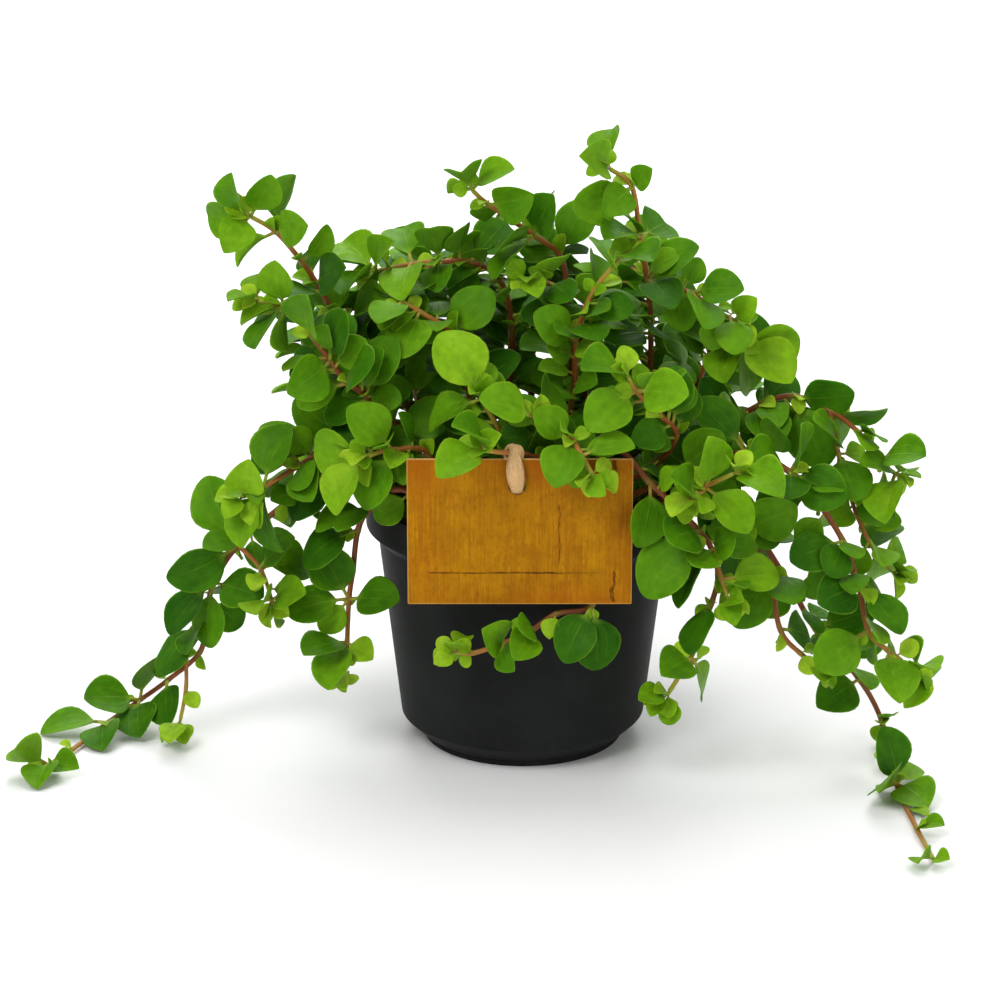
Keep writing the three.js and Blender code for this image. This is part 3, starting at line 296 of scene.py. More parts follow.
def turned(vector, axis, angle):
    """The vector turned about an axis."""
    return (vector * math.cos(angle) + np.cross(axis, vector) * math.sin(angle)
            + axis * float(axis @ vector) * (1 - math.cos(angle)))


def within(limits, draw):
    return limits[0] + (limits[1] - limits[0]) * draw


class Curve:
    """An open Catmull-Rom curve, whose ends run on straight."""

    def __init__(self, points):
        self.points = [np.array(p, float) for p in points]

    def point(self, t):
        points = self.points
        last = len(points) - 1
        place = last * t
        k = min(math.floor(place), last - 1)
        w = place - k
        b, c = points[k], points[k + 1]
        a = points[k - 1] if k > 0 else 2 * points[0] - points[1]
        d = points[k + 2] if k + 2 <= last else 2 * points[last] - points[last - 1]
        enter, leave = (c - a) / 2, (d - b) / 2
        return (b + enter * w + (3 * c - 3 * b - 2 * enter - leave) * w * w
                + (2 * b - 2 * c + enter + leave) * w ** 3)

    def tangent(self, t):
        step = 0.0001
        return unit(self.point(min(1, t + step)) - self.point(max(0, t - step)))

    def length(self):
        steps = 200
        marks = [self.point(k / steps) for k in range(steps + 1)]
        return sum(float(np.linalg.norm(q - p)) for p, q in zip(marks, marks[1:]))


def draws(seed):
    """Seeded draws from 0 to 1."""
    mask = 0xFFFFFFFF
    state = [seed & mask]

    def draw():
        state[0] = (state[0] + 0x6D2B79F5) & mask
        mixed = ((state[0] ^ (state[0] >> 15)) * (state[0] | 1)) & mask
        mixed ^= (mixed + (mixed ^ (mixed >> 7)) * (mixed | 61)) & mask
        return ((mixed ^ (mixed >> 14)) & mask) / (mask + 1)

    return draw


def soil_height(x, y):
    edge = math.hypot(x, y) / POT.rim
    lumps = math.sin(x * 0.21 + y * 0.07) * math.cos(y * 0.19 - x * 0.05)
    return SOIL.top + SOIL.crown * (1 - edge * edge) + SOIL.lump * lumps * (1 - edge ** 4)


# ---------- Room: which space is taken ----------


def pot_radius(z):
    rise = np.maximum(0, z - POT.heel_height) / (POT.shoulder_height - POT.heel_height)
    wall = POT.heel + (POT.shoulder - POT.heel) * rise
    return np.where(z > POT.shoulder_height, POT.rim, wall)


def blocked(points):
    """Whether a point is in the surface below, the pot, the soil or the tag, or too near them."""
    x, y, z = points.T
    near = CLEAR.wall
    radius = np.hypot(x, y)
    in_mouth = (radius < POT.rim - POT.wall - near) & (z > SOIL.top + SOIL.crown + near)
    in_pot = (z < POT.height + near) & (radius < pot_radius(z) + near) & ~in_mouth
    in_tag = ((x > TAG.left - near) & (x < TAG.right + near) & (z > TAG.low - near)
              & (z < TAG.high + near) & (y > TAG.back - TAG.thickness - near) & (y < TAG.back + near))
    return bool(((z < CLEAR.floor) | in_pot | in_tag).any())


class Room:
    """Groups of points, each an axis or a leaf, with the stem that holds them."""

    def __init__(self):
        self.groups = []
        self.low = []
        self.high = []

    def add(self, points, owner, is_axis):
        self.groups.append((points, owner, is_axis))
        self.low.append(points.min(0))
        self.high.append(points.max(0))

    def free(self, points, owner, own, others):
        low, high = np.array(self.low) - others, np.array(self.high) + others
        near = ((points.max(0) >= low) & (points.min(0) <= high)).all(1)
        for k in np.flatnonzero(near):
            taken, holder, is_axis = self.groups[k]
            if holder == owner and is_axis:
                continue
            least = own if holder == owner else others
            apart = points[:, None, :] - taken[None, :, :]
            if (np.einsum("ijk,ijk->ij", apart, apart) < least * least).any():
                return False
        return True


# ---------- Leaves ----------


def blade_outline(t):
    """Half width of the blade at t, from its base (0) to its tip (1), as a share of the full half width."""
    inside = np.clip(t, 1e-9, 1 - 1e-9)
    return np.where((t <= 0) | (t >= 1), 0.0, np.sin(math.pi * inside ** 0.9) ** 0.6)


class Leaf:
    """A leaf's place: the foot of its petiole, its three directions and its sizes."""

    def __init__(self, start, direction, face, length, width, young=0.0):
        self.start = start
        self.along = unit(direction)
        self.normal = unit(face - self.along * float(face @ self.along))
        self.side = np.cross(self.along, self.normal)
        self.length = length
        self.width = width
        self.young = young

    def points(self, t, a):
        """Points of the leaf's middle surface: t along the blade (below 0 on the petiole), a across it."""
        t, a = np.broadcast_arrays(np.asarray(t, float), np.asarray(a, float))
        share = LEAF.petiole + (1 - LEAF.petiole) * t
        half = self.width / 2 * blade_outline(t)
        height = LEAF.arch * self.length * 4 * share * (1 - share) + LEAF.cup * half * a * a
        return (self.start + np.multiply.outer(share * self.length, self.along)
                + np.multiply.outer(a * half, self.side) + np.multiply.outer(height, self.normal))

    def marks(self):
        """The points that the leaf takes up."""
        t = np.array([0.04, 0.2, 0.36, 0.52, 0.68, 0.84, 0.97])
        a = np.array([-1, -0.67, -0.33, 0, 0.33, 0.67, 1])
        return self.points(t[:, None], a[None, :]).reshape(-1, 3)

    def bent(self, pitch, yaw, roll, size):
        """The leaf turned by angles in degrees and made smaller."""
        along = turned(self.along, self.side, math.radians(pitch))
        normal = turned(self.normal, self.side, math.radians(pitch))
        along = turned(along, self.normal, math.radians(yaw))
        normal = turned(normal, unit(along), math.radians(roll))
        return Leaf(self.start, along, normal, self.length * size, self.width * size, self.young)


def light_at(point):
    """The way that a leaf at a point faces: up, and to the front or the back with its side of the plant."""
    if point[2] < LIGHT.low:
        return UP
    facing = min(max((point[1] - LIGHT.divide) / LIGHT.depth, LIGHT.front), LIGHT.back)
    return unit(np.array([point[0] * LIGHT.sideways, facing, LIGHT.up]))


def tip_seen(start, u, v, length, lean):
    """The tip seen at (u, v), at its natural length from the foot, leaning nearer (-1) or farther (1)."""
    direction = unit(ray(u, v))
    offset = EYE - start
    b = float(offset @ direction)
    c = float(offset @ offset) - length * length
    tip = EYE + direction * (-b + lean * math.sqrt(max(0.0, b * b - c)))
    return lying(u, v, HABIT.lowest_tip) if tip[2] < HABIT.lowest_tip else tip


def facing_light(start, direction, length, breadth, turn, young):
    """A leaf that faces the light, turned about its midrib."""
    flat = Leaf(start, direction, light_at(start), length, 1)
    normal = turned(flat.normal, flat.along, turn)
    return Leaf(start, flat.along, normal, length, breadth * (1 - LEAF.petiole) * LEAF.width, young)


def settled(choices, room, owner, own, others, bends):
    """The leaves that find room, each in the first of its places that has any, bent as little as needed."""
    found = []
    for places in choices:
        for bend, leaf in ((bend, leaf) for bend in bends for leaf in places):
            candidate = leaf.bent(*bend)
            marks = candidate.marks()
            if not blocked(marks) and room.free(marks, owner, own, others):
                room.add(marks, owner, False)
                found.append(candidate)
                break
    return found


# ---------- Axes: a stem or a shoot ----------


class Axis:
    """A row of the table as a curve, with some points before its route, and the nodes along it."""

    def __init__(self, row, before, thick, thin, whorl):
        self.row = row
        self.curve = Curve([*before, *row.route])
        self.first = len(before)
        self.last = len(self.curve.points) - 1
        self.thick = thick
        self.thin = thin
        self.whorl = whorl
        stations = []
        for k in range(self.last + 1):
            if k and np.linalg.norm(self.curve.points[k] - self.curve.points[k - 1]) > STEM.reach:
                stations.append(k - 0.5)
            stations.append(k)
        rings = [(at - self.first, self.curve.point(at / self.last), self.curve.tangent(at / self.last))
                 for at in stations]
        self.nodes = [ring for ring in rings if ring[0] >= row.bare]

    def at(self, index):
        return (index + self.first) / self.last

    def index(self, t):
        return t * self.last - self.first

    def youth(self, index):
        """How young the growth is, from 0 on the old wood to 1 at the tip of the axis."""
        end = self.last - self.first
        return max(0.0, 1 - (end - index) / STEM.young)

    def marks(self):
        count = rounded(self.curve.length() / STEM.sample)
        return np.array([self.curve.point(k / count) for k in range(count + 1)])


def axes_of(stem):
    x, y = stem.start
    ground = soil_height(x, y)
    rooted = [(x, y, ground - FOOT.depth + FOOT.gap), (x, y, ground + STEM.above)]
    main = Axis(stem, rooted, STEM.thick, STEM.thin, stem.whorl)
    return [main, *(Axis(shoot, [main.curve.point(main.at(shoot.start))], STEM.shoot, STEM.fine, stem.whorl)
                    for shoot in stem.shoots)]


def outline_leaves(axis, random):
    """The leaves that the table lists, each with two places: its tip nearer the viewer, or farther."""
    leaves = []
    for index, u, v, *more in axis.row.leaves:
        turn, size = (more + [0, 1][len(more):])
        start = axis.curve.point(axis.at(index))
        broad = within(HABIT.widths, random())
        places = []
        for lean in (-1, 1):
            span = tip_seen(start, u, v, LEAF.length * HABIT.leaning * size, lean) - start
            length = float(np.linalg.norm(span))
            breadth = min(length, LEAF.length * HABIT.broadest) * broad
            places.append(facing_light(start, span, length, breadth, math.radians(turn), axis.youth(index)))
        leaves.append(places)
    return leaves


def across_and_over(direction):
    across = unit(np.cross(UP, direction))
    return across, np.cross(direction, across)


def rule_leaves(axis, random):
    """The leaves that fill up each node: pairs that turn from node to node, small at the axis's tip."""
    leaves = []
    for k, (index, point, direction) in enumerate(axis.nodes):
        shown = sum(1 for leaf in axis.row.leaves if abs(leaf[0] - index) < HABIT.listed_near)
        across, over = across_and_over(direction)
        from_tip = len(axis.nodes) - 1 - k
        growth = HABIT.young[from_tip] if from_tip < len(HABIT.young) else 1
        for n in range(2):
            swing, lean, size, roll = (random() for _ in range(4))
            has_dropped = n > 0 and roll < HABIT.dropped
            if n >= axis.whorl - shown or has_dropped or index in axis.row.plain:
                continue
            azimuth = HABIT.start + (k % 2) * HABIT.spiral + n * math.pi + (swing - 0.5) * HABIT.scatter
            outward = (across * math.cos(azimuth) + over * math.sin(azimuth)) * HABIT.outward
            way = outward + direction * within(HABIT.forward, lean) + UP * HABIT.lift
            length = LEAF.length * growth * within(HABIT.sizes, size)
            breadth = length * within(HABIT.widths, roll)
            leaves.append([facing_light(point, way, length, breadth, (roll - 0.5) * HABIT.roll,
                                        axis.youth(index))])
    return leaves


# ---------- Small growth, which the solids leave out ----------

# Lengths, how far the leaves lean along their axis, and how far apart they grow.
HEART = Sizes(length=(15, 22), forward=(0.1, 0.7), spacing=2.6, reach=104, top=180, front=-48, soil=5)
SIDE_BUD = Sizes(length=(14, 21), forward=(0.2, 0.7), spacing=8.0, smaller=0.35)
BUD = Sizes(length=(6, 10), forward=(0.6, 1.6), young=0.8)
TUFT = Sizes(length=(8, 12), forward=1.3, leaves=4)


def sprout(axis, t, azimuth, forward, length, roll, young):
    """A leaf on an axis at t of its curve, at an azimuth round it."""
    direction = axis.curve.tangent(t)
    across, over = across_and_over(direction)
    way = across * math.cos(azimuth) + over * math.sin(azimuth) + direction * forward
    return facing_light(axis.curve.point(t), way, length, length, roll - 0.5, young)


def drawn(axis, t, random, kind, young=0.0, share=1.0):
    """A leaf of a kind, at an azimuth and with a lean, length and roll that are drawn."""
    azimuth, forward, size, roll = (random() for _ in range(4))
    return sprout(axis, t, azimuth * 2 * math.pi, within(kind.forward, forward),
                  within(kind.length, size) * share, roll, young)


def heart_leaves(axis, random):
    """The leaves in the heart of the crown, from the soil up, where they are dense and dark."""
    count = rounded(axis.curve.length() / HEART.spacing)
    leaves = []
    for k in range(count):
        leaf = drawn(axis, (k + random()) / count, random, HEART)
        x, y, z = leaf.start + leaf.along * leaf.length
        is_inside = math.hypot(x, y) < HEART.reach and y > HEART.front
        if is_inside and SOIL.top + HEART.soil < min(z, leaf.start[2]) and z < HEART.top:
            leaves.append([leaf])
    return leaves


def filling_leaves(axis, random):
    """Full leaves between the nodes, as the side buds of such a plant give them."""
    first = axis.at(axis.row.bare)
    count = max(1, rounded(axis.curve.length() * (1 - first) / SIDE_BUD.spacing))
    leaves = []
    for k in range(count):
        t = first + (1 - first) * (k + random()) / count
        young = axis.youth(axis.index(t))
        leaf = drawn(axis, t, random, SIDE_BUD, young, 1 - SIDE_BUD.smaller * young)
        if axis.index(t) <= axis.row.opens:
            leaves.append([leaf])
    return leaves


def bud_leaves(axis, random):
    """Tiny leaves at the nodes, and a tuft of young ones round the tip."""
    leaves = []
    for index, _, _ in axis.nodes:
        leaves += [[drawn(axis, min(1, axis.at(index)), random, BUD, BUD.young)] for _ in range(2)]
    turn = random() * math.pi
    for k in range(TUFT.leaves):
        size, roll = random(), random()
        azimuth = turn + k * 2 * math.pi / TUFT.leaves
        leaves.append([sprout(axis, 1, azimuth, TUFT.forward, within(TUFT.length, size), roll, 1.0)])
    return leaves


room = Room()
for stem in STEMS:
    stem.axes = axes_of(stem)
    for axis in stem.axes:
        room.add(axis.marks(), stem.name, True)
# What grows in turn, its seed, the room that it keeps from leaves of its own stem and from the other
# stems, and the bends that it may try.
PASSES = (
    (outline_leaves, 101, CLEAR.tuft, CLEAR.others, BENDS),
    (rule_leaves, 501, CLEAR.own, CLEAR.others, BENDS),
    (heart_leaves, 2101, 0.8, 1.5, BENDS[:12]),
    (filling_leaves, 901, 1.0, 2.2, BENDS[:9]),
    (bud_leaves, 1301, 0.5, 1.4, BENDS[:5]),
)
for wanted, seed, own, others, bends in PASSES:
    for k, stem in enumerate(STEMS):
        random = draws(seed + k)
        for axis in stem.axes:
            stem.blades += settled(wanted(axis, random), room, stem.name, own, others, bends)

# ---------- Node materials ----------


def srgb(red, green, blue):
    """A colour of the photograph, 0 to 255, as the shader reads it."""
    linear = [c / 255 / 12.92 if c / 255 <= 0.04045 else ((c / 255 + 0.055) / 1.055) ** 2.4
              for c in (red, green, blue)]
    return (*linear, 1.0)


class Flow:
    """A socket of a node tree that can be reckoned with like a number."""

    def __init__(self, nodes, socket):
        self.nodes = nodes
        self.socket = socket

    def __add__(self, other):
        return self.nodes.math("ADD", self, other)

    def __sub__(self, other):
        return self.nodes.math("SUBTRACT", self, other)

    def __rsub__(self, other):
        return self.nodes.math("SUBTRACT", other, self)

    def __mul__(self, other):
        return self.nodes.math("MULTIPLY", self, other)

    def __abs__(self):
        return self.nodes.math("ABSOLUTE", self)

    def spread(self, low, high, to_low=0.0, to_high=1.0):
        """This value, with low to high drawn out to other ends, and held between them."""
        return self.nodes.value("MapRange", {0: self, 1: low, 2: high, 3: to_low, 4: to_high})


class Nodes:
    """A material's node tree, built by name."""

    def __init__(self, name):
        self.material = bpy.data.materials.new(name)
        self.material.use_nodes = True
        self.tree = self.material.node_tree
        self.shader = self.tree.nodes["Principled BSDF"]

    def put(self, socket, value):
        if isinstance(value, Flow):
            self.tree.links.new(value.socket, socket)
        else:
            socket.default_value = value

    def add(self, kind, inputs=(), **settings):
        node = self.tree.nodes.new("ShaderNode" + kind)
        for key, value in settings.items():
            setattr(node, key, value)
        for key, value in dict(inputs).items():
            self.put(node.inputs[key], value)
        return node

    def value(self, kind, inputs=(), output=0, **settings):
        return Flow(self, self.add(kind, inputs, **settings).outputs[output])

    def math(self, operation, a, b=0.0, clamp=False):
        return self.value("Math", {0: a, 1: b, 2: 0.0}, operation=operation, use_clamp=clamp)

    def most(self, first, *others):
        for other in others:
            first = self.math("MAXIMUM", first, other)
        return first

    def mix(self, factor, a, b, blend="MIX"):
        return self.value("Mix", {0: factor, 6: a, 7: b}, output=2, data_type="RGBA", blend_type=blend)

    def dimmed(self, colour, factor):
        """The colour times a grey."""
        return self.mix(1.0, colour, self.grey(factor), "MULTIPLY")

    def grey(self, tone):
        return self.value("CombineColor", {0: tone, 1: tone, 2: tone})

    def ramp(self, factor, *stops):
        node = self.add("ValToRGB", {0: factor})
        ramp = node.color_ramp
        for k, (position, colour) in enumerate(stops):
            stop = ramp.elements[k] if k < 2 else ramp.elements.new(position)
            stop.position = position
            stop.color = srgb(*colour)
        return Flow(self, node.outputs[0])

    def here(self):
        return self.value("TexCoord", output="Object")

    def noise(self, scale, vector=None, detail=3.0, roughness=0.5, stretch=None):
        place = vector or self.here()
        if stretch:
            place = self.value("Mapping", {"Vector": place, "Scale": stretch})
        return self.value("TexNoise", {"Vector": place, "Scale": scale, "Detail": detail,
                                       "Roughness": roughness})

    def parts(self, vector):
        return [Flow(self, output) for output in self.add("SeparateXYZ", {0: vector}).outputs]

    def attribute(self, name):
        return self.parts(self.value("Attribute", output="Vector", attribute_name=name))

    def bump(self, height, strength, distance):
        relief = self.value("Bump", {"Height": height, "Strength": strength, "Distance": distance})
        self.put(self.shader.inputs["Normal"], relief)

    def shade(self, **sockets):
        for name, value in sockets.items():
            self.put(self.shader.inputs[name.replace("_", " ").title().replace("Ior", "IOR")], value)


def leaf_material():
    """Fleshy matte blades: green by age and size, faint curved veins, a pale rim, and a pale petiole."""
    n = Nodes("leaf_flesh")
    t, a, upper = n.attribute("place")
    young, chance, length = n.attribute("life")
    age = young * 0.34 + chance * 0.4 + length.spread(22, 9, 0.0, 0.34)
    age = n.math("ADD", age, n.noise(70).spread(0.3, 0.7, -0.07, 0.12), clamp=True)
    green = n.ramp(age, (0.0, (30, 76, 3)), (1.0, (156, 190, 40)), (0.2, (52, 102, 6)),
                   (0.42, (80, 130, 10)), (0.72, (114, 160, 18)))
    across = abs(a)
    middle = across.spread(0.0, 0.06, 1.0, 0.0)
    side = abs(across - 0.42).spread(0.0, 0.06, 0.4, 0.0)
    outer = abs(across - 0.74).spread(0.0, 0.05, 0.2, 0.0)
    fading = t.spread(0.4, 0.9, 1.0, 0.1)
    veins = n.most(middle, side, outer) * fading
    green = n.mix(veins * 0.2, green, srgb(136, 176, 52))
    lobes = abs(across - 0.22).spread(0.2, 0.0) * fading
    green = n.mix(lobes * 0.2, green, srgb(58, 116, 10))
    green = n.dimmed(green, n.noise(300, detail=4, roughness=0.65).spread(0.32, 0.68, 0.84, 1.14))
    green = n.mix(across.spread(0.9, 1.0, 0.0, 0.34), green, srgb(132, 172, 46))
    green = n.mix(upper.spread(-0.2, -0.7, 0.0, 0.45), green, srgb(98, 140, 40))
    base = t.spread(0.16, 0.0, 0.0, 0.55) * across.spread(0.9, 0.2)
    green = n.mix(base, green, srgb(150, 176, 60))
    petiole = n.ramp(chance, (0.0, (142, 166, 54)), (1.0, (168, 142, 66)))
    colour = n.mix(t.spread(0.03, -0.05), green, petiole)
    rough = n.noise(260, detail=2).spread(0.3, 0.7, 0.42, 0.58)
    n.shade(base_color=colour, roughness=rough, ior=1.16, subsurface_weight=0.14, subsurface_scale=0.002,
            subsurface_radius=(0.5, 1.0, 0.05), specular_ior_level=0.5)
    n.bump(veins * -0.6 + n.noise(1100) * 0.3, 0.6, 0.0005)
    return n.material


def stem_material():
    """Reddish-brown stems with fine lengthwise streaks, green at the nodes and towards the young tip."""
    n = Nodes("stem_skin")
    along, around, node = n.attribute("place")
    young, chance, _ = n.attribute("life")
    place = n.value("CombineXYZ", {0: along * 0.02, 1: around, 2: chance})
    streaks = n.noise(7, vector=place, detail=4, roughness=0.65)
    age = n.math("ADD", young, streaks.spread(0.3, 0.7, -0.1, 0.1), clamp=True)
    bark = n.ramp(age, (0.0, (118, 58, 22)), (1.0, (146, 162, 40)), (0.35, (148, 80, 30)),
                  (0.75, (166, 114, 42)))
    bark = n.mix(streaks.spread(0.5, 0.72, 0.0, 0.5), bark, srgb(208, 140, 70))
    bark = n.mix(node * 0.45, bark, srgb(124, 134, 40))
    n.shade(base_color=bark, roughness=streaks.spread(0.3, 0.7, 0.38, 0.55), specular_ior_level=0.3)
    n.bump(streaks, 0.4, 0.0003)
    return n.material


def pot_material():
    """Black polypropylene: satin, with faint mould lines round it and dust near the rim and the foot."""
    n = Nodes("pot_plastic")
    z = n.parts(n.here())[2]
    clouds = n.noise(26, detail=4, roughness=0.6)
    lines = n.noise(1500, detail=2, stretch=(0.02, 0.02, 1))
    colour = n.ramp(clouds, (0.3, (28, 30, 29)), (0.72, (38, 40, 39)))
    dust = (n.noise(190, detail=5, roughness=0.7).spread(0.55, 0.8)
            * n.most(z.spread(0.02, 0.0), z.spread(0.084, 0.098)))
    colour = n.mix(dust * 0.2, colour, srgb(96, 88, 78))
    rough = clouds.spread(0.3, 0.7, 0.42, 0.54) + dust * 0.25
    n.shade(base_color=colour, roughness=rough, ior=1.09, specular_ior_level=0.5)
    n.bump(lines * 0.6 + n.noise(2600, detail=1) * 0.5, 0.12, 0.0003)
    return n.material


def soil_material():
    """Damp peat with bark crumbs and a few pale grains."""
    n = Nodes("potting_soil")
    cells = n.add("TexVoronoi", {"Vector": n.here(), "Scale": 420.0}).outputs
    crumbs = n.noise(240, detail=6, roughness=0.7)
    colour = n.ramp(crumbs, (0.3, (24, 16, 11)), (0.7, (74, 52, 36)), (0.5, (46, 31, 21)))
    pale = Flow(n, cells["Color"]).spread(0.93, 0.95)
    colour = n.mix(pale * 0.7, colour, srgb(190, 180, 160))
    n.shade(base_color=colour, roughness=crumbs.spread(0.3, 0.7, 0.75, 0.98), specular_ior_level=0.3)
    n.bump(crumbs + Flow(n, cells["Distance"]) * 0.7, 0.9, 0.0015)
    return n.material


# Upright dark lines on the tag: u, from v down to v, half width in metres, and strength.
CRACKS = (
    (613.5, 458, 476, 0.0005, 1.0), (615.5, 458, 496, 0.0006, 1.0), (613.8, 570, 603, 0.0006, 1.0),
    (611.6, 584, 603, 0.0004, 0.9), (559.5, 503, 566, 0.0004, 0.75), (446, 488, 504, 0.0005, 0.5),
    (478, 457, 468, 0.0006, 0.5), (434, 566, 596, 0.0005, 0.35),
)
RULE = Sizes(left=426, right=611, v=573)


def tag_material():
    """Card printed as old orange-brown boards: fine upright grain, cracks at the right, a rule below."""
    n = Nodes("tag_print")
    x, y, z = n.parts(n.here())
    face = TAG.back - TAG.thickness
    low, high = TAG.low * MM, TAG.high * MM
    tall, wide = high - low, (TAG.right - TAG.left) * MM

    def on_face(u, v):
        return [float(c) for c in seen(u, v, face) * MM]

    def crack(u, v_high, v_low, width, strength):
        """A dark line that wavers and thins out."""
        middle, _, top = on_face(u, v_high)
        foot = on_face(u, v_low)[2]
        waver = n.noise(240, stretch=(0.1, 0.1, 1)).spread(0.3, 0.7, -0.0005, 0.0005)
        ragged = n.noise(300, detail=4, roughness=0.7).spread(0.3, 0.6, 0.3, 1.0)
        on = abs(x - middle + waver).spread(width * 0.4, width, 1.0, 0.0) * ragged
        return on * (z.spread(foot, foot + 0.001) * z.spread(top, top - 0.001)) * strength

    grain = n.noise(1500, detail=5, roughness=0.6, stretch=(1, 0.2, 0.05))
    weave = n.noise(1300, roughness=0.6, stretch=(0.06, 0.2, 1))
    bands = n.noise(70, stretch=(1, 0.2, 0.25))
    colour = n.ramp(grain, (0.32, (142, 88, 2)), (0.7, (174, 122, 5)), (0.5, (160, 104, 3)))
    colour = n.mix(bands.spread(0.35, 0.7, 0.0, 0.5), colour, srgb(176, 124, 6))
    colour = n.mix(weave.spread(0.6, 0.8, 0.0, 0.2), colour, srgb(126, 78, 3))
    speckle = n.noise(900, detail=4, roughness=0.75, stretch=(1, 0.2, 0.5))
    colour = n.mix(speckle.spread(0.5, 0.7, 0.0, 0.6), colour, srgb(126, 70, 2))
    colour = n.dimmed(colour, n.noise(150, detail=4, roughness=0.6).spread(0.34, 0.66, 0.88, 1.12))
    near_end = n.most(z.spread(high - tall * 0.32, high), z.spread(low + tall * 0.2, low, 0.0, 0.6))
    at_side = abs(x).spread(0.028, 0.042, 0.0, 0.5)
    stain = n.most(near_end, at_side) * n.noise(38, detail=4, stretch=(1, 1, 0.6)).spread(0.36, 0.62)
    colour = n.mix(stain * 0.75, colour, srgb(156, 74, 3))
    streak = n.noise(420, detail=4, roughness=0.7, stretch=(1, 0.2, 0.05))
    marks = streak.spread(0.68, 0.74) * near_end.spread(0.0, 0.6, 0.15, 0.8)
    marks = n.most(marks, *(crack(*line) for line in CRACKS))
    left, _, height = on_face(RULE.left, RULE.v)
    right = on_face(RULE.right, RULE.v)[0]
    drift = n.noise(130, stretch=(1, 0.1, 0.1)).spread(0.3, 0.7, -0.0002, 0.0002)
    worn = n.noise(260, detail=4, roughness=0.7).spread(0.3, 0.62, 0.35, 1.0)
    rule = abs(z - height + drift).spread(0.0002, 0.00048, 1.0, 0.0) * worn
    inside = x.spread(left, left + 0.002) * x.spread(right, right - 0.02)
    marks = n.most(marks, rule * inside * 0.95)
    colour = n.mix(marks * 0.92, colour, srgb(50, 22, 3))
    reach = wide / 2 - abs(x - (TAG.right + TAG.left) / 2 * MM)
    rise = tall / 2 - abs(z - (high + low) / 2)
    trim = n.math("MINIMUM", reach, rise).spread(0.00022, 0.0005, 0.6, 0.0)
    colour = n.mix(trim, colour, srgb(206, 160, 84))
    front = n.math("LESS_THAN", y, (face + 0.12) * MM)
    core = n.ramp(n.noise(700), (0.3, (184, 150, 96)), (0.7, (212, 184, 136)))
    colour = n.mix(front, core, colour)
    n.shade(base_color=colour, roughness=grain.spread(0.3, 0.7, 0.55, 0.7), specular_ior_level=0.08)
    n.bump(grain, 0.12, 0.0002)
    return n.material


def tie_material():
    """Natural raffia: pale straw with long fibres."""
    n = Nodes("raffia")
    along, around, _ = n.attribute("place")
    place = n.value("CombineXYZ", {0: along * 0.03, 1: around})
    fibres = n.noise(9, vector=place, detail=5, roughness=0.7)
    colour = n.ramp(fibres, (0.32, (168, 112, 66)), (0.68, (248, 214, 164)), (0.48, (226, 180, 124)))
    n.shade(base_color=colour, roughness=fibres.spread(0.3, 0.7, 0.55, 0.8), specular_ior_level=0.2)
    n.bump(fibres, 0.8, 0.0007)
    return n.material


def floor_material():
    """A pale matte sweep, which is lit up far away from the plant, all round it."""
    n = Nodes("studio_floor")
    distance = n.value("VectorMath", {0: n.here()}, output="Value", operation="LENGTH")
    n.shade(base_color=n.grey(n.noise(3, detail=2).spread(0.3, 0.7, 0.93, 0.96)), roughness=0.7,
            specular_ior_level=0.1, emission_color=(1, 1, 1, 1),
            emission_strength=distance.spread(0.7, 2.2, 0.0, 0.8))
    return n.material


# ---------- Meshes ----------


def added(name, data):
    """A new object, in the scene."""
    thing = bpy.data.objects.new(name, data)
    bpy.context.scene.collection.objects.link(thing)
    return thing


def evaluated_mesh(thing):
    """The thing's mesh with its modifiers and its bevel applied."""
    bpy.context.view_layer.update()
    graph = bpy.context.evaluated_depsgraph_get()
    return bpy.data.meshes.new_from_object(thing.evaluated_get(graph))


class Solid:
    """Points in millimetres, faces, and two vectors for each point that the materials read."""

    def __init__(self):
        self.points = []
        self.faces = []
        self.kinds = []
        self.place = []
        self.life = []
        self.count = 0

    def loft(self, rings, place=(0, 0, 0), life=(0, 0, 0), kind=0, closed=False):
        """Rings of equal size, joined into a skin; the ends are capped unless the last meets the first."""
        rings = np.asarray(rings)
        rows, sides = rings.shape[:2]
        base = self.count
        for store, values in ((self.points, rings), (self.place, place), (self.life, life)):
            store.append(np.broadcast_to(values, rings.shape).reshape(-1, 3))
        self.count += rows * sides
        for k in range(rows if closed else rows - 1):
            here, there = base + k * sides, base + ((k + 1) % rows) * sides
            for i in range(sides):
                j = (i + 1) % sides
                self.faces.append((here + i, here + j, there + j, there + i))
        if not closed:
            self.faces.append(tuple(base + i for i in reversed(range(sides))))
            self.faces.append(tuple(base + (rows - 1) * sides + i for i in range(sides)))
        self.kinds += [kind] * (len(self.faces) - len(self.kinds))

    def make(self, name, materials):
        mesh = bpy.data.meshes.new(name)
        points = np.concatenate(self.points) * MM
        mesh.from_pydata(points.tolist(), [], self.faces)
        for attribute, rows in (("place", self.place), ("life", self.life)):
            layer = mesh.attributes.new(attribute, "FLOAT_VECTOR", "POINT")
            layer.data.foreach_set("vector", np.concatenate(rows).astype(np.float32).ravel())
        for material in materials:
            mesh.materials.append(material)
        mesh.polygons.foreach_set("material_index", self.kinds)
        mesh.polygons.foreach_set("use_smooth", [True] * len(self.faces))
        return added(name, mesh)


def turns(count):
    """Angles once round."""
    return np.arange(count) * 2 * math.pi / count


COLUMNS = 8
ROWS = 12
ACROSS = np.array([-math.cos(math.pi * k / COLUMNS) for k in range(COLUMNS + 1)])
SECTION = np.concatenate([ACROSS, ACROSS[COLUMNS - 1:0:-1]])
SIDE = np.concatenate([np.sqrt(1 - ACROSS ** 2), -np.sqrt(1 - ACROSS[COLUMNS - 1:0:-1] ** 2)])
FLESH = Sizes(upper=0.28, lower=0.42, neck=0.62, root=0.72, margin=0.05, full=20, clear=0.25)
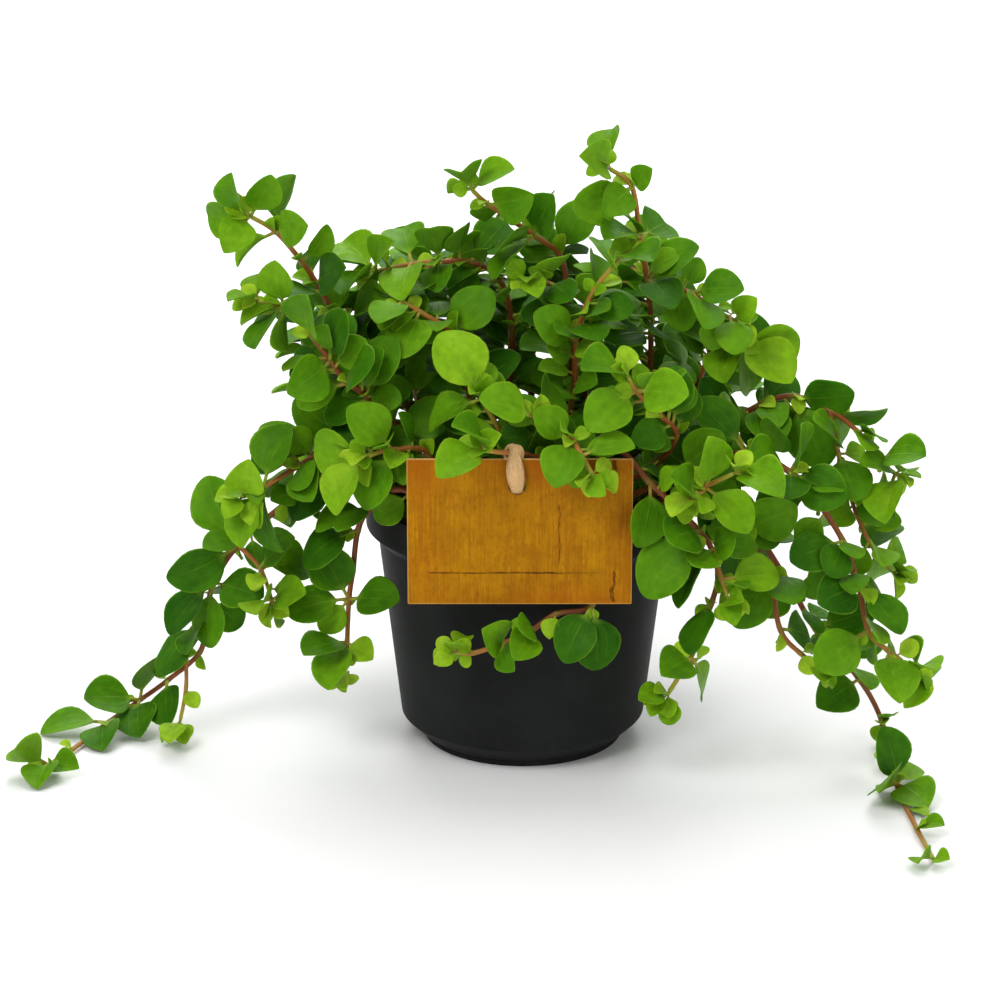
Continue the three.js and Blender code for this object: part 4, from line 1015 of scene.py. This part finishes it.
# How the blades differ: limits of the draws, as shares of the half width (fold, wave) or of the length.
BLADE = Sizes(
    fold=(-0.12, 0.26), young_fold=0.34, droop=(-0.04, 0.12), wave=(0.0, 0.09), turn=(-0.05, 0.05),
)


def full_outline(t):
    """The blade's half width much as the solids have it, drawn out at the base and blunter at the tip."""
    inside = np.clip(t, 1e-9, 1 - 1e-9)
    power = 0.54 + 0.35 * (1 - inside) ** 3
    return np.where((t <= 0) | (t >= 1), 0.0, np.sin(math.pi * inside ** 0.95) ** power)


def add_leaf(solid, leaf, random):
    """A leaf with a round petiole and a fleshy blade that is thin at its margin."""
    scale = min(1.0, leaf.length / FLESH.full)
    stalk = -LEAF.petiole / (1 - LEAF.petiole)
    blade = [0.5 - 0.5 * math.cos(math.pi * k / ROWS) for k in range(1, ROWS)]
    t = np.array([stalk, stalk * 0.5, -0.01, *blade, 0.997])
    share = LEAF.petiole + (1 - LEAF.petiole) * t
    on_blade = np.clip(t, 0, 1)
    petiole = (FLESH.root + (FLESH.neck - FLESH.root) * (1 - np.clip(t / stalk, 0, 1))) * scale
    half = np.maximum(leaf.width / 2 * full_outline(t), np.where(t < 0.5, petiole, FLESH.margin))
    ease = np.exp(-on_blade * 14)
    upper = FLESH.upper + (petiole - FLESH.upper) * ease
    lower = FLESH.lower + (petiole - FLESH.lower) * ease
    fold = within(BLADE.fold, random()) + BLADE.young_fold * leaf.young
    droop = within(BLADE.droop, random())
    wave, phase = within(BLADE.wave, random()), random() * 6.3
    turn = within(BLADE.turn, random())
    arch = LEAF.arch * leaf.length * 4 * share * (1 - share)
    spine = arch - droop * leaf.length * on_blade ** 2
    edge = half[:, None] * (np.abs(SECTION) ** 1.6)[None, :]
    ripple = (np.sin(phase + t * 9) * on_blade ** 0.3)[:, None]
    lift = LEAF.cup * half[:, None] * SECTION ** 2 + fold * edge + wave * edge * ripple
    thick = np.where(SIDE >= 0, upper[:, None], lower[:, None]) * SIDE[None, :]
    height = spine[:, None] + lift + thick
    sway = turn * leaf.length * on_blade ** 2
    rings = (leaf.start + (share * leaf.length)[:, None, None] * leaf.along
             + (SECTION[None, :] * half[:, None] + sway[:, None])[:, :, None] * leaf.side
             + height[:, :, None] * leaf.normal)
    rings[:, :, 2] = np.maximum(rings[:, :, 2], FLESH.clear)
    place = np.stack(np.broadcast_arrays(t[:, None], SECTION[None, :], SIDE[None, :]), axis=2)
    solid.loft(rings[:, ::-1], place[:, ::-1], (leaf.young, random(), leaf.length))


# The round skin of an axis. Its radius is a share of the solid's.
ROUND = Sizes(sides=10, step=1.8, share=0.9, swell=0.16, swell_reach=1.7, end=0.55)


def frames_along(directions):
    """Two directions square to each of the given ones, which turn as little as they can on the way."""
    across = np.array([0.6, -0.8, 0])
    frames = []
    for direction in directions:
        across = unit(across - direction * float(across @ direction))
        frames.append((across, np.cross(direction, across)))
    return frames


def add_axis(solid, axis, random):
    """A round stem that thins to its tip and swells a little at each node."""
    length = axis.curve.length()
    count = max(8, rounded(length / ROUND.step))
    times = [k / count for k in range(count + 1)]
    centres = [axis.curve.point(t) for t in times]
    frames = frames_along([axis.curve.tangent(t) for t in times])
    nodes = np.array([axis.at(index) for index, _, _ in axis.nodes])
    angles = turns(ROUND.sides)
    around = np.abs(np.arange(ROUND.sides) / ROUND.sides - 0.5) * 12
    chance = random()
    rings, places, lives = [], [], []
    distance = 0.0
    for k, t in enumerate(times):
        distance += float(np.linalg.norm(centres[k] - centres[k - 1])) if k else 0
        near = math.exp(-(float(np.abs(nodes - t).min()) * length / ROUND.swell_reach) ** 2)
        radius = ROUND.share * (axis.thick + (axis.thin - axis.thick) * t) * (1 + ROUND.swell * near)
        if k == count:
            radius *= ROUND.end
        across, over = frames[k]
        rings.append(centres[k] + radius * (np.outer(np.cos(angles), across)
                                            + np.outer(np.sin(angles), over)))
        places.append([(distance, turn, near) for turn in around])
        lives.append([(axis.youth(axis.index(t)), chance, 0.0)] * ROUND.sides)
    solid.loft(rings, np.array(places), np.array(lives), kind=1)


def lathe(solid, profile, segments):
    """A closed outline of radii and heights, turned round +Z."""
    solid.loft([np.stack([np.cos(a) * profile[:, 0], np.sin(a) * profile[:, 0], profile[:, 1]], axis=1)
                for a in turns(segments)], closed=True)


def eased(profile, reach=0.5):
    """The outline with each corner rounded."""
    corners = np.array(profile, float)
    points = []
    for k, corner in enumerate(corners):
        before, after = corners[k - 1], corners[(k + 1) % len(corners)]
        enter = corner + unit(before - corner) * min(reach, np.linalg.norm(before - corner) / 3)
        leave = corner + unit(after - corner) * min(reach, np.linalg.norm(after - corner) / 3)
        for t in (0, 0.33, 0.67, 1):
            points.append(enter * (1 - t) ** 2 + corner * 2 * t * (1 - t) + leave * t * t)
    return np.array(points)


def fit_to_frame(piece, node):
    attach(piece, "root")
    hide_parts(node)


INMOST = 0.05  # A lathed outline keeps this clear of its axis.


def make_pot():
    flare = POT.band_foot - POT.shoulder_height
    rim, wall, heel, foot, recess = POT.rim, POT.wall, POT.heel, POT.foot, POT.recess
    profile = [
        (INMOST, 0), (POT.pad, 0), (POT.pad + 0.6, recess), (foot - 4.3, recess), (foot - 3.7, 0),
        (foot, 0), (foot + 0.4, recess), (foot + 2.2, POT.chamfer_foot),
        (heel - 2, POT.chamfer_top), (heel, POT.heel_height),
        (POT.shoulder, POT.shoulder_height), (rim, POT.band_foot),
        (rim, POT.height), (rim - wall, POT.height), (rim - wall - 0.3, POT.band_foot),
        (POT.shoulder - wall, POT.band_foot - flare), (heel - wall, POT.heel_height + 0.8),
        (heel - 3.1, POT.chamfer_top + 1.2), (foot + 0.7, POT.floor), (INMOST, POT.floor),
    ]
    solid = Solid()
    lathe(solid, eased(profile), segments=128)
    piece = solid.make("pot_shell", [pot_material()])
    for k, angle in enumerate(turns(POT.drains)):
        ring = [(POT.drain_circle * math.cos(angle) + POT.drain_radius * math.cos(a),
                 POT.drain_circle * math.sin(angle) + POT.drain_radius * math.sin(a)) for a in turns(24)]
        cutter = Solid()
        cutter.loft([[(x, y, z) for x, y in ring] for z in (-5, POT.floor + 5)])
        drill = cutter.make(f"drain_{k}", [])
        cut = piece.modifiers.new(f"drain_{k}", "BOOLEAN")
        cut.object = drill
        cut.solver = "EXACT"
        cut_mesh = evaluated_mesh(piece)
        piece.modifiers.clear()
        piece.data = cut_mesh
        bpy.data.objects.remove(drill)
    piece.data.name = "pot_shell"
    fit_to_frame(piece, "pot")


CRUMBS = Sizes(rings=44, segments=160, fading=4, layers=((0.35, 1, 0.9), (1.1, 7, 0.5)))


def make_soil():
    """The plug, with a crumbly top."""
    rim, wall, gap = POT.rim, POT.wall, FOOT.gap
    outer = rim - wall - 0.65
    wall_line = [
        (INMOST, POT.floor + gap), (POT.foot + 0.5, POT.floor + gap),
        (POT.heel - 3.3, POT.chamfer_top + 1.5), (POT.heel - wall - 0.3, POT.heel_height + 1.1),
        (POT.shoulder - wall - 0.3, POT.shoulder_height + 0.2),
        (rim - wall - 0.75, POT.band_foot + 0.25), (outer, SOIL.top),
    ]
    radii = np.concatenate([np.linspace(outer - 0.8, 1, CRUMBS.rings), [INMOST]])
    rings = []
    for angle in turns(CRUMBS.segments):
        c, s = math.cos(angle), math.sin(angle)
        ring = [(r * c, r * s, z) for r, z in wall_line]
        for r in radii:
            x, y = r * c, r * s
            rough = sum(noise.noise(Vector((x * scale, y * scale, layer))) * height
                        for scale, layer, height in CRUMBS.layers)
            ring.append((x, y, soil_height(x, y) + rough * min(1, (outer - r) / CRUMBS.fading)))
        rings.append(ring)
    solid = Solid()
    solid.loft(rings, closed=True)
    fit_to_frame(solid.make("soil_plug", [soil_material()]), "soil")


def make_tag():
    """The card, with its corners, edges and hole rounded."""
    curve = bpy.data.curves.new("tag_card", "CURVE")
    curve.dimensions = "2D"
    curve.fill_mode = "BOTH"
    corner, edge = 0.5, 0.12
    outline = []
    left, right, low, high = TAG.left + corner, TAG.right - corner, TAG.low + corner, TAG.high - corner
    for x, z, start in ((right, low, -90), (right, high, 0), (left, high, 90), (left, low, 180)):
        for k in range(7):
            angle = math.radians(start + 15 * k)
            outline.append((x + corner * math.cos(angle), z + corner * math.sin(angle)))
    hole = [(TAG.hole_x + TAG.hole * math.cos(a), TAG.high - TAG.hole_drop + TAG.hole * math.sin(a))
            for a in turns(40)]
    for points in (outline, hole):
        spline = curve.splines.new("POLY")
        spline.points.add(len(points) - 1)
        for point, (x, z) in zip(spline.points, points):
            point.co = (x * MM, z * MM, 0, 1)
        spline.use_cyclic_u = True
    curve.extrude = (TAG.thickness / 2 - edge) * MM
    curve.bevel_depth = edge * MM
    curve.bevel_resolution = 2
    curve.offset = -edge * MM
    shape = added("tag_shape", curve)
    mesh = evaluated_mesh(shape)
    bpy.data.objects.remove(shape)
    mesh.transform(Matrix.Translation((0, (TAG.back - TAG.thickness / 2) * MM, 0))
                   @ Matrix.Rotation(math.pi / 2, 4, "X"))
    mesh.materials.clear()
    mesh.materials.append(tag_material())
    fit_to_frame(added("tag_card", mesh), "tag")


STRAND = Sizes(foot=1.95, bulge=1.35, taper=0.4, flat=0.75, seed=77, steps=72)
# The turns round the stem: each one's place along it, its slant and its thickness.
KNOT = ((-1.9, 0.3, 0.72), (-0.6, -0.25, 0.84), (0.7, 0.2, 0.88), (1.9, -0.2, 0.7))
KNOT_STEPS = 36


def make_tie():
    """The raffia: a flat strand through the hole that widens upwards, and turns round the stem above."""
    axis = next(stem.axes[0] for stem in STEMS if stem.name == "stem_tag_left")
    at = axis.at(2)
    crossing, along = axis.curve.point(at), axis.curve.tangent(at)
    half = TIE.thickness / 2
    low = TAG.high - TAG.hole_drop - TIE.under_hole
    high = crossing[2] + FOOT.radius + FOOT.gap + half
    middle = np.array([TAG.hole_x, TAG.back - TAG.thickness / 2, (low + high) / 2])
    random = draws(STRAND.seed)
    solid = Solid()
    angles = turns(28)

    def wound(rings, life):
        """A closed strand, with how far along and around it each point is."""
        places = [[(min(k, len(rings) - k), abs(a - math.pi) * 2, 0) for a in angles]
                  for k in range(len(rings))]
        solid.loft(rings, np.array(places), life, closed=True)

    rings = []
    for k, turn in enumerate(turns(STRAND.steps)):
        outward = np.array([0, math.sin(turn), -math.cos(turn)])
        centre = middle + np.array([0, math.sin(turn) * TIE.reach, -math.cos(turn) * (high - low) / 2])
        lean = min(max((centre[2] - low) / (high - low), 0), 1)
        centre[0] += (crossing[0] - TAG.hole_x) * lean
        bulge = STRAND.bulge * math.sin(math.pi * lean ** 0.9) ** 1.5
        width = STRAND.foot + bulge - STRAND.taper * lean ** 2
        crease = 1 + 0.1 * np.cos(angles * 7 + k * 0.05) + 0.07 * np.cos(angles * 13 - k * 0.09)
        rings.append(centre + np.outer(np.cos(angles) * width * crease, (1, 0, 0))
                     + np.outer(np.sin(angles) * half * STRAND.flat * crease, outward))
    wound(rings, (0, 0, 0))
    across, over = frames_along([along])[0]
    for shift, tilt, size in KNOT:
        rings = []
        for k, turn in enumerate(turns(KNOT_STEPS)):
            out = across * math.cos(turn) + over * math.sin(turn)
            centre = crossing + out * (STEM.thick + size + 0.1) + along * (shift + tilt * math.sin(turn))
            wobble = 1 + 0.12 * math.sin(turn * 3 + shift)
            crease = 1 + 0.1 * np.cos(angles * 6 + k * 0.1)
            rings.append(centre + np.outer(np.cos(angles) * size * wobble * crease, out)
                         + np.outer(np.sin(angles) * size * 1.25 * crease, along))
        wound(rings, (0, random(), 0))
    fit_to_frame(solid.make("raffia_tie", [tie_material()]), "tag_tie")


FOLIAGE_SEED = 1701

make_pot()
make_soil()
make_tag()
make_tie()
flesh, skin = leaf_material(), stem_material()
for k, stem in enumerate(STEMS):
    random = draws(FOLIAGE_SEED + k)
    solid = Solid()
    for axis in stem.axes:
        add_axis(solid, axis, random)
    for leaf in stem.blades:
        add_leaf(solid, leaf, random)
    fit_to_frame(solid.make(f"{stem.name}_foliage", [flesh, skin]), stem.name)

# ---------- Studio ----------


def make_floor():
    mesh = bpy.data.meshes.new("floor")
    mesh.from_pydata([(-6, -4, 0), (6, -4, 0), (6, 12, 0), (-6, 12, 0)], [], [(0, 1, 2, 3)])
    mesh.materials.append(floor_material())
    floor = added("floor", mesh)


def facing(thing, place, direction):
    thing.location = place
    thing.rotation_euler = Vector(direction).to_track_quat("-Z", "Y").to_euler()


def lamp(name, place, aim, size, power):
    data = bpy.data.lights.new(name, "AREA")
    data.shape = "DISK"
    data.size = size
    data.energy = power
    facing(added(name, data), place, Vector(aim) - Vector(place))


make_floor()
lamp("key", (-0.9, -1.3, 1.7), (0, 0, 0.1), 1.1, 24)
lamp("fill", (1.3, -1.2, 1.1), (0, 0, 0.1), 1.4, 9)
lamp("top", (0.1, 0.5, 2.0), (0, 0, 0.1), 1.6, 16)
lamp("backdrop", (0, 3.4, 2.6), (0, 3.0, 0), 3.0, 130)

scene = bpy.context.scene
scene.world = bpy.data.worlds.new("studio")
scene.world.use_nodes = True
background = scene.world.node_tree.nodes["Background"].inputs
background["Color"].default_value = (1, 1, 1, 1)
background["Strength"].default_value = 0.4
scene.view_settings.view_transform = "Standard"

camera = bpy.data.cameras.new("camera")
camera.sensor_width = 36
camera.lens = camera.sensor_width * VIEW.focal / 1000
camera.clip_end = 30
view = added("camera", camera)
facing(view, Vector(EYE * MM), SIGHT)
bpy.context.scene.camera = view
